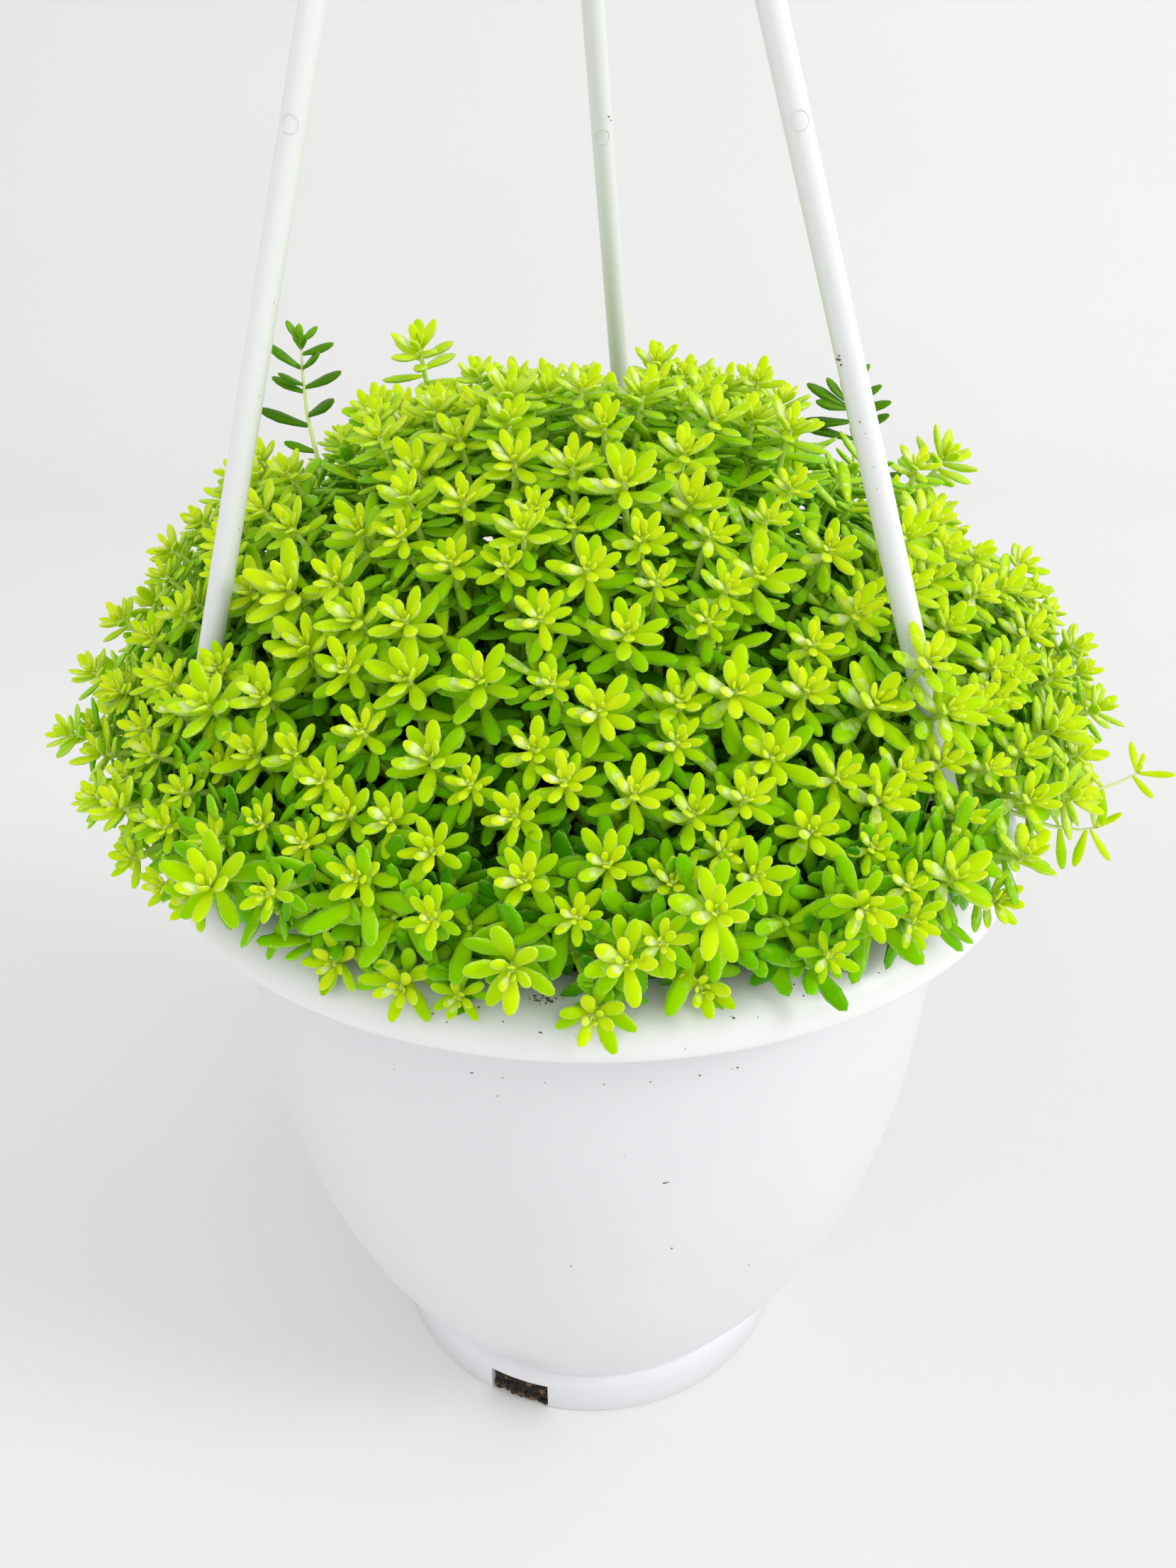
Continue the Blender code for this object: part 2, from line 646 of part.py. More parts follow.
def build():
    """Make every piece."""
    clear_scene()
    group = collection("potted_stonecrop")
    white = material("white_plastic", (0.86, 0.87, 0.88), 0.38)
    rod_white = material("hanger_plastic", (0.84, 0.85, 0.87), 0.34)
    mix = material("potting_mix", (0.035, 0.026, 0.020), 0.95)
    golden = material("golden_leaf", (0.46, 0.66, 0.03), 0.45)
    dark = material("dark_leaf", (0.05, 0.17, 0.02), 0.45)
    pot(group, collection("pot_cutters"), white)
    hanger(group, collection("hook_cutters"), rod_white)
    roots = []
    flats = math.cos(math.pi / HOLE_SIDES)
    for _, root, head, _ in tufts():
        roots.append((root, (head - root).normalized(), (ROOT_RADIUS + GAP) / flats))
    for knots in DARK_SPRIGS.values():
        path = sprig_path(knots)
        roots.append((path[0], (path[1] - path[0]).normalized(), (1.15 * SPRIG_STEM + GAP) / flats))
    soil(group, collection("soil_cutters"), mix, roots)
    foliage(group, golden)
    for side, knots in DARK_SPRIGS.items():
        dark_sprig(side, knots, group, dark)


build()
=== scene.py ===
"""Looks of a golden stonecrop in a white hanging pot. Metres, +Z up, the front faces -Y."""
import math

import bpy
import numpy as np
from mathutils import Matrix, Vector


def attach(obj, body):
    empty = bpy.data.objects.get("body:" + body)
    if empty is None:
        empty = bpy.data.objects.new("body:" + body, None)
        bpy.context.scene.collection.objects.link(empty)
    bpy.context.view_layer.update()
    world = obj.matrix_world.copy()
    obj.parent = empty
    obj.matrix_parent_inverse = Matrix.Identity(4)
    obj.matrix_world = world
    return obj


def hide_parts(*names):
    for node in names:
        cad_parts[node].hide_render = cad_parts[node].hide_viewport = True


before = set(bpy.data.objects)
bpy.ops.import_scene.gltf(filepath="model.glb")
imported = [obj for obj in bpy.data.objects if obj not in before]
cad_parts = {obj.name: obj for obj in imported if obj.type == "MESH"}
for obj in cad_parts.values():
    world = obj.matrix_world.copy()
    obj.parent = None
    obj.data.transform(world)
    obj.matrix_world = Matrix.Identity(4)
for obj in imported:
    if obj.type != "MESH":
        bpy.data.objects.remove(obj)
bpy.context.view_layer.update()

# The view: a phone held a little above the plant, less than a hand's breadth in front of the
# leaves, with its wide lens tipped 28 degrees down, so that the rim looks broad and the foot small.
LENS, SENSOR = 27.05, 36.0
EYE = np.array([-0.0007, -0.2093, 0.2425])
DIP = math.radians(28.0)
PHOTO = (1659, 2212)
REACH = LENS / SENSOR * PHOTO[1]
AHEAD = np.array([0.0, math.cos(DIP), -math.sin(DIP)])
ABOVE = np.array([0.0, math.sin(DIP), math.cos(DIP)])
camera = bpy.data.objects.new("camera", bpy.data.cameras.new("camera"))
bpy.context.scene.collection.objects.link(camera)
camera.data.lens = LENS
camera.data.sensor_width = SENSOR
camera.data.clip_start = 0.01
camera.location = EYE
camera.rotation_euler = (math.pi / 2 - DIP, 0.0, 0.0)
bpy.context.scene.camera = camera


def seen_at(points):
    """Pixels of the photograph, and depth: how far right and up of the middle a point lies for each
    metre ahead of the eye, times the lens's length in pixels."""
    away = np.asarray(points) - EYE
    depth = away @ AHEAD
    across = PHOTO[0] / 2 + REACH * away[..., 0] / depth
    return across, PHOTO[1] / 2 - REACH * (away @ ABOVE) / depth, depth


# Pot: one injection-moulded shell of white polypropylene, with a stepped foot ring, a flared wall
# and a rim that rolls over and turns down. Water leaves through round holes in its floor and three
# square notches in the foot, of which one shows.
WALL = 0.0018
FOOT_RADIUS, FOOT_HEIGHT = 0.046, 0.01
FLOOR_TOP, FLOOR_THICKNESS = 0.0115, 0.002
BODY_LOW_RADIUS, BODY_TOP_RADIUS, BODY_TOP, BODY_FLARE = 0.0443, 0.0704, 0.128, 3.1
RIM_RADIUS, RIM_CENTRE_RADIUS, RIM_LOW, RIM_RISE, LIP = 0.082, 0.0717, 0.1307, 0.0068, 0.0018
NOTCHES = [-110.2 + 120.0 * k for k in range(3)]
NOTCH_WIDTH, NOTCH_HEIGHT, NOTCH_EDGE = 0.0133, 0.007, 0.0229
SIDES = 180


def body_radius(height):
    """The wall's outer radius: it grows with one less the power 3.1 of what is left to the top."""
    share = (height - FOOT_HEIGHT) / (BODY_TOP - FOOT_HEIGHT)
    return BODY_LOW_RADIUS + (BODY_TOP_RADIUS - BODY_LOW_RADIUS) * (1 - (1 - share) ** BODY_FLARE)


def arc(middle, size, first, last, count):
    """Points on an ellipse between two angles in degrees, as radius and height."""
    turn = np.radians(np.linspace(first, last, count))
    return np.stack([middle[0] + size[0] * np.cos(turn), middle[1] + size[1] * np.sin(turn)], 1)


def around(angle, radius, height):
    """Points at these angles in degrees and radii from the pot's axis, at these heights."""
    turn = np.radians(angle)
    return np.stack(np.broadcast_arrays(radius * np.cos(turn), radius * np.sin(turn), height), -1)


def mesh_object(name, points, quads, triangles, finishes, face_finish=None):
    """A smooth piece from arrays of corners, four-sided faces and three-sided faces."""
    mesh = bpy.data.meshes.new(name)
    mesh.vertices.add(len(points))
    mesh.vertices.foreach_set("co", np.asarray(points, np.float32).ravel())
    mesh.loops.add(quads.size + triangles.size)
    mesh.loops.foreach_set("vertex_index", np.concatenate([quads.ravel(), triangles.ravel()]))
    mesh.polygons.add(len(quads) + len(triangles))
    ends = np.cumsum(np.repeat([4, 3], [len(quads), len(triangles)]))
    mesh.polygons.foreach_set("loop_start", np.concatenate([[0], ends[:-1]]))
    mesh.update(calc_edges=True)
    for finish in finishes:
        mesh.materials.append(finish)
    if face_finish is not None:
        mesh.polygons.foreach_set("material_index", face_finish)
    mesh.shade_smooth()
    piece = bpy.data.objects.new(name, mesh)
    bpy.context.scene.collection.objects.link(piece)
    return piece


def strips(rows, columns):
    """Faces between rows of a grid whose columns close into a ring."""
    row, column = np.meshgrid(np.arange(rows - 1), np.arange(columns), indexing="ij")
    near, far = row * columns + column, row * columns + (column + 1) % columns
    return np.stack([near, near + columns, far + columns, far], -1).reshape(-1, 4)


def fan(centre, ring, outward):
    """Triangles from one corner to a ring of corners."""
    after = np.roll(ring, -1)
    pair = (ring, after) if outward else (after, ring)
    return np.stack([np.full_like(ring, centre), *pair], 1)


def closed_tubes(skin, feet, tops):
    """Closed surfaces from corners by tube, ring and side: faces join each ring to the next, and a
    fan closes a tube at its foot and at its top. Returns corners, four-sided faces and triangles."""
    count, rings, sides = skin.shape[:3]
    size = rings * sides + 2
    points = np.concatenate([skin.reshape(count, -1, 3), feet[:, None], tops[:, None]], 1)
    ring = np.arange(sides)
    ends = np.concatenate([fan(size - 2, ring, True), fan(size - 1, ring + (rings - 1) * sides, False)])
    start = (np.arange(count) * size)[:, None, None]
    return points.reshape(-1, 3), (strips(rings, sides) + start).reshape(-1, 4), (ends + start).reshape(-1, 3)


def turned(name, profile, angles, finishes, raised=None):
    """A surface of revolution: each profile point (radius, height), first and last on the axis,
    goes round every angle in degrees. raised may lift points of the rings by radius and angle."""
    radius, height = profile[1:-1, :1], np.tile(profile[1:-1, 1:], len(angles))
    if raised is not None:
        height = raised(radius, height, angles)
    grid, poles = around(angles, radius, height), around(0.0, *profile[[0, -1]].T)
    return mesh_object(name, *closed_tubes(grid[None], poles[:1], poles[1:]), finishes)


class Finish:
    """A new Principled material, and short ways to add its nodes; most give back a node's output."""

    def __init__(self, name):
        """The material with its shader, and the piece's own coordinates in metres."""
        self.material = bpy.data.materials.new(name)
        self.material.use_nodes = True
        self.tree = self.material.node_tree
        self.place = self.node("TexCoord").outputs["Object"]

    def feed(self, node, inputs):
        """Link the inputs that are a node's output, and set the others."""
        for key, value in inputs.items():
            if isinstance(value, bpy.types.NodeSocket):
                self.tree.links.new(value, node.inputs[key])
            else:
                node.inputs[key].default_value = value

    def node(self, kind, inputs=None, **settings):
        """A new shader node with these inputs and settings."""
        node = self.tree.nodes.new("ShaderNode" + kind)
        for key, value in settings.items():
            setattr(node, key, value)
        self.feed(node, inputs or {})
        return node

    def noise(self, scale, detail=2.0, roughness=0.5):
        """Cloudy noise from 0 to 1, with about this many lumps to the metre."""
        inputs = {"Vector": self.place, "Scale": scale, "Detail": detail, "Roughness": roughness}
        return self.node("TexNoise", inputs).outputs["Fac"]

    def spread(self, value, low, high, first=0.0, last=1.0):
        """The range from low to high laid over that from first to last."""
        inputs = {"Value": value, "From Min": low, "From Max": high, "To Min": first, "To Max": last}
        return self.node("MapRange", inputs).outputs[0]

    def maths(self, operation, first, second):
        """The sum, product or other operation of two values."""
        return self.node("Math", {0: first, 1: second}, operation=operation).outputs[0]

    def blend(self, factor, first, second, mode="MIX"):
        """The colour between two, or a multiply of both; each may be a value or a node's output."""
        first, second = ((*c, 1.0) if isinstance(c, tuple) else c for c in (first, second))
        inputs = {0: factor, 6: first, 7: second}
        return self.node("Mix", inputs, data_type="RGBA", blend_type=mode).outputs[2]

    def ramp(self, factor, *stops):
        """A colour ramp through (place, colour) stops."""
        node = self.node("ValToRGB", {"Fac": factor})
        elements = node.color_ramp.elements
        while len(elements) < len(stops):
            elements.new(0.5)
        for element, (place, colour) in zip(elements, stops):
            element.position = place
            element.color = (*colour, 1.0)
        return node.outputs["Color"]

    def bump(self, height, strength, distance):
        """The normal of a skin raised by this height, which counts for so many metres."""
        inputs = {"Height": height, "Strength": strength, "Distance": distance}
        return self.node("Bump", inputs).outputs["Normal"]

    def made(self, inputs):
        """The material, with these inputs of its shader."""
        self.feed(self.tree.nodes["Principled BSDF"], inputs)
        return self.material


def white_moulding(name, colour, behind, roughness, specks):
    """Satin polypropylene: a faint orange peel, a cloudy white, and a few dark specks of dirt. Below
    the rim it takes the darker behind colour, painted shade for the shadow under the rim's overhang."""
    finish = Finish(name)
    level = finish.node("SeparateXYZ", {"Vector": finish.place}).outputs["Z"]
    # Painted shade: below the rim the wall blends to the darker behind colour, for the rim's shadow
    tone = finish.blend(finish.spread(level, BODY_TOP - 0.004, BODY_TOP + 0.004), behind, colour)
    cloud = finish.ramp(finish.noise(28.0, 3.0), (0.3, (0.972, 0.972, 0.972)), (0.7, (1.0, 1.0, 1.0)))
    cells = finish.node("TexVoronoi", {"Vector": finish.place, "Scale": 105.0, "Randomness": 1.0}).outputs
    lot = finish.node("SeparateColor", {"Color": cells["Color"]}).outputs
    rare = finish.maths("LESS_THAN", lot["Red"], specks)
    close = finish.maths("LESS_THAN", cells["Distance"], finish.maths("MULTIPLY", lot["Green"], 0.045))
    shaded = finish.blend(1.0, cloud, tone, "MULTIPLY")
    return finish.made({
        "Base Color": finish.blend(finish.maths("MULTIPLY", rare, close), shaded, (0.1, 0.085, 0.06)),
        "Roughness": finish.spread(finish.noise(60.0, 5.0), 0.0, 1.0, roughness - 0.05, roughness + 0.08),
        "Normal": finish.bump(finish.noise(900.0), 0.05, 0.0002),
        "Subsurface Weight": 0.12, "Subsurface Radius": (0.004, 0.004, 0.004), "Subsurface Scale": 0.5,
        "IOR": 1.49})


# The second colour is painted shade, the darker wall below the rim
pot_white = white_moulding("white_polypropylene", (0.84, 0.843, 0.85), (0.775, 0.783, 0.807), 0.36, 0.05)
low_wall = np.linspace(0, 1, 42) ** 1.4 * (BODY_TOP - FOOT_HEIGHT) + FOOT_HEIGHT
rim_width = RIM_RADIUS - RIM_CENTRE_RADIUS
rim_middle = (RIM_CENTRE_RADIUS, RIM_LOW)
inside = np.stack([body_radius(low_wall[6::2]) - WALL, low_wall[6::2]], 1)
outside = np.stack([body_radius(low_wall[:0:-1]), low_wall[:0:-1]], 1)
lip_low = arc((RIM_RADIUS - LIP / 2, RIM_LOW), (LIP / 2, 0.0006), 0.0, -180.0, 7)
foot_step = np.array([
    [BODY_LOW_RADIUS + 0.0004, FOOT_HEIGHT - 0.0002], [FOOT_RADIUS - 0.0007, FOOT_HEIGHT - 0.0008],
    [FOOT_RADIUS - 0.0002, FOOT_HEIGHT - 0.0015], [FOOT_RADIUS, FOOT_HEIGHT - 0.0024],
    [FOOT_RADIUS, NOTCH_HEIGHT], [FOOT_RADIUS, 0.0006], [FOOT_RADIUS - 0.0002, 0.0002],
    [FOOT_RADIUS - 0.0005, 0.0], [FOOT_RADIUS - WALL - 0.0003, 0.0],
    [FOOT_RADIUS - WALL - 0.0005, 0.0002], [FOOT_RADIUS - WALL - 0.0012, NOTCH_HEIGHT],
    [FOOT_RADIUS - WALL - 0.0014, FLOOR_TOP - FLOOR_THICKNESS]])
pot_profile = np.concatenate([
    [[0, FLOOR_TOP], [0.02, FLOOR_TOP], [BODY_LOW_RADIUS - WALL - 0.001, FLOOR_TOP]], inside,
    arc(rim_middle, (rim_width, RIM_RISE), 100.0, 0.0, 18), lip_low[1:],
    arc(rim_middle, (rim_width - LIP, RIM_RISE - LIP), 0.0, 82.0, 9), outside, foot_step,
    [[0, FLOOR_TOP - FLOOR_THICKNESS]]])
half = math.degrees(math.asin(NOTCH_WIDTH / 2 / FOOT_RADIUS))
sill = [a + side * half + edge for a in NOTCHES for side in (-1, 1) for edge in (-NOTCH_EDGE, NOTCH_EDGE)]
pot_angles = np.sort(np.concatenate([np.arange(SIDES) * 360 / SIDES, np.mod(sill, 360)]))


def notch_lift(radius, height, angles):
    """Within a notch's width nothing of the foot ring reaches lower than the notch's top."""
    away = np.min([np.abs((angles - a + 180) % 360 - 180) for a in NOTCHES], 0)
    ring = (radius > FOOT_RADIUS - 2.5 * WALL) & (away < half)
    return np.where(ring, np.maximum(height, NOTCH_HEIGHT), height)


pot = turned("pot_shell", pot_profile, pot_angles, [pot_white], notch_lift)
pot.data.set_sharp_from_angle(angle=math.radians(38))
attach(pot, "root")
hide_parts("pot")


# Crumbs: bits of potting mix and dried leaf that fell on the rim and stuck to the wall when the pot
# was watered, each under a millimetre. Some lie where they are listed, a heap of fine ones lies
# together on the rim's front, and the others are strewn.
CRUMB_SIZE, HEAP, STREWN = 0.00034, 40, 70
# Pixels across and down in the view, and size as a share of CRUMB_SIZE
CRUMBS = np.array([
    [612, 1430, 0.5], [630, 1442, 0.4], [675, 1421, 0.5], [710, 1441, 0.4], [763, 1457, 0.55],
    [766, 1408, 0.5], [772, 1411, 0.7], [779, 1414, 0.5], [770, 1416, 0.4], [785, 1409, 0.4],
    [856, 1462, 0.45], [897, 1423, 0.4], [1036, 1436, 0.8], [1030, 1434, 0.3], [1070, 1435, 0.3],
    [967, 1480, 0.3], [1038, 1494, 0.7], [986, 1509, 0.6], [917, 1524, 0.6], [668, 1502, 0.5],
    [711, 1508, 0.4], [769, 1518, 0.3], [852, 1531, 0.4], [702, 1545, 0.35], [1120, 1389, 0.5],
    [1133, 1405, 0.5], [420, 1283, 0.6], [470, 1325, 0.4], [1030, 1497, 0.4], [812, 1460, 0.25],
    [938, 1668, 0.7], [944, 1675, 0.5], [946, 1753, 0.6], [806, 1781, 0.4], [640, 1370, 0.4],
    [395, 1312, 0.5], [1240, 1372, 0.4], [1180, 1405, 0.35], [880, 1620, 0.3], [560, 1500, 0.3]])
chance = np.random.default_rng(5)
heap = (chance.normal(771, 14, HEAP), chance.normal(1409, 3.5, HEAP), chance.uniform(0.18, 0.55, HEAP))
CRUMBS = np.concatenate([CRUMBS, np.stack(heap, 1)])


def blobs(centres, sizes, flat, sides, rings):
    """Lumpy balls: each corner of a ball is pushed in or out by its own share of the size, and the
    ball is drawn out to one side and squeezed in height. Returns corners, faces and triangles."""
    polar = np.pi * np.arange(1, rings + 1)[:, None] / (rings + 1)
    turn = 2 * np.pi * np.arange(sides) / sides
    ring = (np.sin(polar) * np.cos(turn), np.sin(polar) * np.sin(turn), np.cos(polar))
    ring = np.stack(np.broadcast_arrays(*ring), -1).reshape(-1, 3)
    ball = np.concatenate([[[0, 0, 1]], ring, [[0, 0, -1]]])
    push = chance.uniform(0.62, 1.15, (len(centres), len(ball), 1))
    spin = chance.uniform(0, 2 * np.pi, (len(centres), 1))
    long = chance.uniform(0.7, 2.1, (len(centres), 1, 1)) * [1.0, 0, 0] + [0, 1.0, flat]
    points = ball * push * long * sizes[:, None, None]
    c, s = np.cos(spin), np.sin(spin)
    x, y = points[..., 0] * c - points[..., 1] * s, points[..., 0] * s + points[..., 1] * c
    points = np.stack([x, y, points[..., 2]], -1) + centres[:, None]
    return closed_tubes(points[:, 1:-1].reshape(-1, rings, sides, 3), points[:, 0], points[:, -1])


def nearest_seen(surface, pixels):
    """The point of a surface that is seen closest to each pixel."""
    across, down, _ = seen_at(surface)
    return np.array([surface[np.argmin((across - x) ** 2 + (down - y) ** 2)] for x, y in pixels])


heights = np.concatenate([arc(rim_middle, (rim_width, RIM_RISE), 100.0, 0.0, 160), outside])
front = around(np.linspace(-179.0, -1.0, 1200), heights[:, :1], heights[:, 1:]).reshape(-1, 3)
stuck = nearest_seen(front, CRUMBS[:, :2])
strewn = chance.uniform(-180, 180, STREWN)
weight = np.where(heights[:, 1] > 0.12, 1.0, 0.15)
strewn = around(strewn, *heights[chance.choice(len(heights), STREWN, p=weight / weight.sum())].T)
strewn = strewn[strewn[:, 1] > -0.02]
crumb_sizes = np.concatenate([CRUMBS[:, 2] * CRUMB_SIZE, chance.uniform(0.00008, 0.00022, len(strewn))])
finish = Finish("dry_crumbs")
crumb_brown = finish.made({"Roughness": 0.9, "Base Color": finish.ramp(
    finish.noise(700.0), (0.32, (0.03, 0.021, 0.015)), (0.56, (0.21, 0.13, 0.06)))})
crumbs = mesh_object("crumbs", *blobs(np.concatenate([stuck, strewn]), crumb_sizes, 0.5, 6, 3), [crumb_brown])
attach(crumbs, "root")


# Potting mix: moist peat and bark filled to just under the rim. Only dark gaps of it show between
# the stems at the front. Dark lumps of it fill the drain notches from inside, so that they look dark.
SOIL_EDGE, SOIL_CROWN, SOIL_GAP = 0.1275, 0.131, 0.0003
# How many bits of bark, how many dark lumps in a notch, and their spread to each side in degrees
BARK, NOTCH_LUMPS, NOTCH_LUMP_SPREAD = 800, 220, 7.6776


def noise3(points, cell, seed):
    """Smooth value noise: random numbers on a lattice, eased between its corners."""
    table = np.random.default_rng(seed).uniform(-1, 1, (64, 64, 64))
    place = np.asarray(points) / cell + 1000.0
    low = np.floor(place).astype(int)
    part = place - low
    part = part * part * (3 - 2 * part)
    total = 0.0
    for corner in range(8):
        step = np.array([corner & 1, corner >> 1 & 1, corner >> 2 & 1])
        weight = np.prod(np.where(step, part, 1 - part), -1)
        index = (low + step) % 64
        total = total + weight * table[index[..., 0], index[..., 1], index[..., 2]]
    return total


def soil_height(share):
    """Height of the mix: a crown that falls with the cube of the share of the way to its edge."""
    return SOIL_CROWN - (SOIL_CROWN - SOIL_EDGE) * share ** 3


finish = Finish("moist_potting_mix")
fleck = finish.noise(420.0, 6.0, 0.7)
mix = finish.made({
    "Base Color": finish.ramp(fleck, (0.3, (0.006, 0.005, 0.004)), (0.55, (0.03, 0.021, 0.014)),
                              (0.72, (0.13, 0.07, 0.032))),
    "Normal": finish.bump(fleck, 0.8, 0.0008), "Roughness": 0.86})
soil_side = low_wall[(low_wall > FLOOR_TOP + 0.002) & (low_wall < SOIL_EDGE - 0.002)][::-4]
top_radius = body_radius(SOIL_EDGE) - WALL - SOIL_GAP
spread = np.linspace(0.0, 1.0, 34)[1:]
soil_profile = np.concatenate([
    [[0, SOIL_CROWN]], np.stack([spread * top_radius, soil_height(spread)], 1),
    np.stack([body_radius(soil_side) - WALL - SOIL_GAP, soil_side], 1),
    [[BODY_LOW_RADIUS - WALL - 0.002, FLOOR_TOP + SOIL_GAP], [0, FLOOR_TOP + SOIL_GAP]]])
soil = turned("potting_mix", soil_profile, np.arange(110) * 360 / 110, [mix])
corners = np.array([v.co for v in soil.data.vertices])
top = (corners[:, 2] > SOIL_EDGE - 0.0005) & (np.hypot(corners[:, 0], corners[:, 1]) < top_radius - 0.0008)
corners[top, 2] += 0.001 * noise3(corners[top], 0.004, 3) + 0.0005 * noise3(corners[top], 0.0015, 4)
soil.data.vertices.foreach_set("co", corners.astype(np.float32).ravel())
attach(soil, "root")
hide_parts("soil")
reach = top_radius * np.sqrt(chance.uniform(0.02, 0.94, BARK))
lie = around(chance.uniform(0, 360, BARK), reach, soil_height(reach / top_radius) + 0.0004)
bark = mesh_object("bark_and_peat", *blobs(lie, chance.uniform(0.0006, 0.0022, BARK), 0.5, 6, 3), [mix])
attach(bark, "root")
# Dark lumps of the mix fill each drain notch from inside
notch_lump_places = []
for angle in NOTCHES:
    turn = angle + chance.uniform(-NOTCH_LUMP_SPREAD, NOTCH_LUMP_SPREAD, NOTCH_LUMPS)
    level = chance.uniform(0.0003, 0.0066, NOTCH_LUMPS)
    deep = FOOT_RADIUS - 0.0011 - 0.12 * level + chance.uniform(-0.0004, 0.0002, NOTCH_LUMPS)
    notch_lump_places.append(around(turn, deep, level))
notch_lump_places = np.concatenate(notch_lump_places)
notch_lumps = blobs(notch_lump_places, chance.uniform(0.0005, 0.0009, len(notch_lump_places)), 0.9, 6, 3)
notch_lumps[0][:, 2] = np.maximum(notch_lumps[0][:, 2], 0.0001)
rusty = np.repeat(chance.uniform(0, 1, len(notch_lump_places)) < 0.1, 12)
notch_fill = mesh_object("mix_in_notches", *notch_lumps, [mix, crumb_brown], np.tile(rusty, 2).astype(int))
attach(notch_fill, "root")


# Hanger rods: three straight round arms of the same white plastic, snapped into holes in the rim.
# Each has a moulded collar that sits on the rim and, halfway up, the round mark of an ejector pin.
ROD_ANGLES = {"left": -158.9, "right": -38.9, "rear": 81.1}
ROD_RADIUS, SEAT_RADIUS, SEAT_HEIGHT = 0.002, 0.0775, 0.139
PIN_RADIUS, PIN_HEIGHT = 0.00125, 0.2465
HUB = np.array([-0.0096, -0.0004, 0.3701])
HUB_LOW, SOCKET_DEPTH = 0.3515, 0.0065
# Height above the seat and radius, from the barb under the rim to the collar on it
COLLAR = np.array([
    [-0.0078, 0.0014], [-0.0075, 0.0018], [-0.007, 0.0022], [-0.0066, 0.0022], [-0.0064, 0.0015],
    [-0.0016, 0.0015], [-0.0014, 0.0026], [-0.0012, 0.003], [-0.0003, 0.003], [0.0, 0.0028]])
rod_white = white_moulding("rod_polypropylene", (0.8, 0.81, 0.825), (0.8, 0.81, 0.825), 0.33, 0.1)


def unit(vectors):
    """Each vector at length one."""
    return vectors / np.linalg.norm(vectors, axis=-1, keepdims=True)


def swept(name, path, radii, sides, finishes):
    """A tube: a circle of each radius set square to the path at each of its points. The circle's
    first direction is carried along the path, turned as little as it can be."""
    path, radii = np.asarray(path, float), np.asarray(radii, float)
    along = unit(np.gradient(path, axis=0))
    first = unit(np.cross(along[0], [0.31, 0.87, 0.39]))
    sidewise = []
    for way in along:
        first = unit(first - way * (first @ way))
        sidewise.append(first)
    sidewise = np.array(sidewise)[:, None]
    other = np.cross(along, sidewise[:, 0])[:, None]
    turn = -2 * np.pi * np.arange(sides)[:, None] / sides
    rings = path[:, None] + radii[:, None, None] * (np.cos(turn) * sidewise + np.sin(turn) * other)
    return mesh_object(name, *closed_tubes(rings[None], path[:1], path[-1:]), finishes)


rods, rod_skin = {}, []
for side, angle in ROD_ANGLES.items():
    seat = around(angle, SEAT_RADIUS, SEAT_HEIGHT)
    way = unit(HUB - seat)
    rods[side] = seat, way
    length = (HUB_LOW + SOCKET_DEPTH - 0.0003 - seat[2]) / way[2]
    stops = np.linspace(0.0009, length, 60)
    radii = ROD_RADIUS * (1.0 + 0.1 * np.exp(-(stops - 0.0009) / 0.004) - 0.0004 * np.arange(60) / 60)
    middle = np.concatenate([COLLAR[:, :1] * [0, 0, 1], way * stops[:, None]]) + seat
    rod = swept(f"rod_{side}", middle, np.concatenate([COLLAR[:, 1], radii]), 32, [rod_white])
    rod.data.set_sharp_from_angle(angle=math.radians(40))
    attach(rod, "root")
    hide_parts(f"hanger_rod_{side}")
    mark = seat + way * (PIN_HEIGHT - seat[2]) / way[2]
    facing = unit(np.array([0, -1, 0.2]) - way * (np.array([0, -1, 0.2]) @ way))
    loop = 2 * np.pi * np.arange(49)[:, None] / 48
    bow = PIN_RADIUS * np.cos(loop) / ROD_RADIUS
    ring = mark + ROD_RADIUS * (np.sin(bow) * np.cross(facing, way) + np.cos(bow) * facing)
    ring = ring + PIN_RADIUS * np.sin(loop) * way
    pin = swept(f"pin_mark_{side}", ring, np.full(49, 0.0001), 8, [rod_white])
    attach(pin, "root")
    toward = unit(EYE - seat - way * ((EYE - seat) @ way))
    bow = np.radians(np.linspace(-70, 70, 57))[:, None]
    rod_skin.append(seat + way * np.linspace(0.001, length, 900)[:, None, None]
                    + ROD_RADIUS * (np.sin(bow) * np.cross(toward, way) + np.cos(bow) * toward))

# Brown burn marks in the plastic and bits of dirt: pixels across and down, and share of MARK_SIZE
MARK_SIZE = 0.0008
MARKS = np.array([
    [1184, 502, 0.26], [1184, 508, 0.34], [1186, 514, 0.26], [1213, 594, 0.17], [1215, 598, 0.12],
    [1221, 612, 0.11], [859, 165, 0.3], [861, 169, 0.22], [386, 428, 0.13], [365, 560, 0.1],
    [337, 746, 0.14], [1233, 660, 0.1], [1238, 690, 0.12], [852, 300, 0.1]])
places = nearest_seen(np.concatenate(rod_skin).reshape(-1, 3), MARKS[:, :2])
marks = mesh_object("rod_marks", *blobs(places, MARKS[:, 2] * MARK_SIZE, 0.6, 8, 5), [crumb_brown])
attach(marks, "root")


# Hub and hook: a small turned boss that takes the three rods from below, drawn out above into a
# round hook for a ceiling hook or rail. It is past the photograph's upper edge and kept plain.
HOOK_RADIUS, HOOK_THICKNESS, HOOK_CENTRE = 0.013, 0.00225, 0.3905
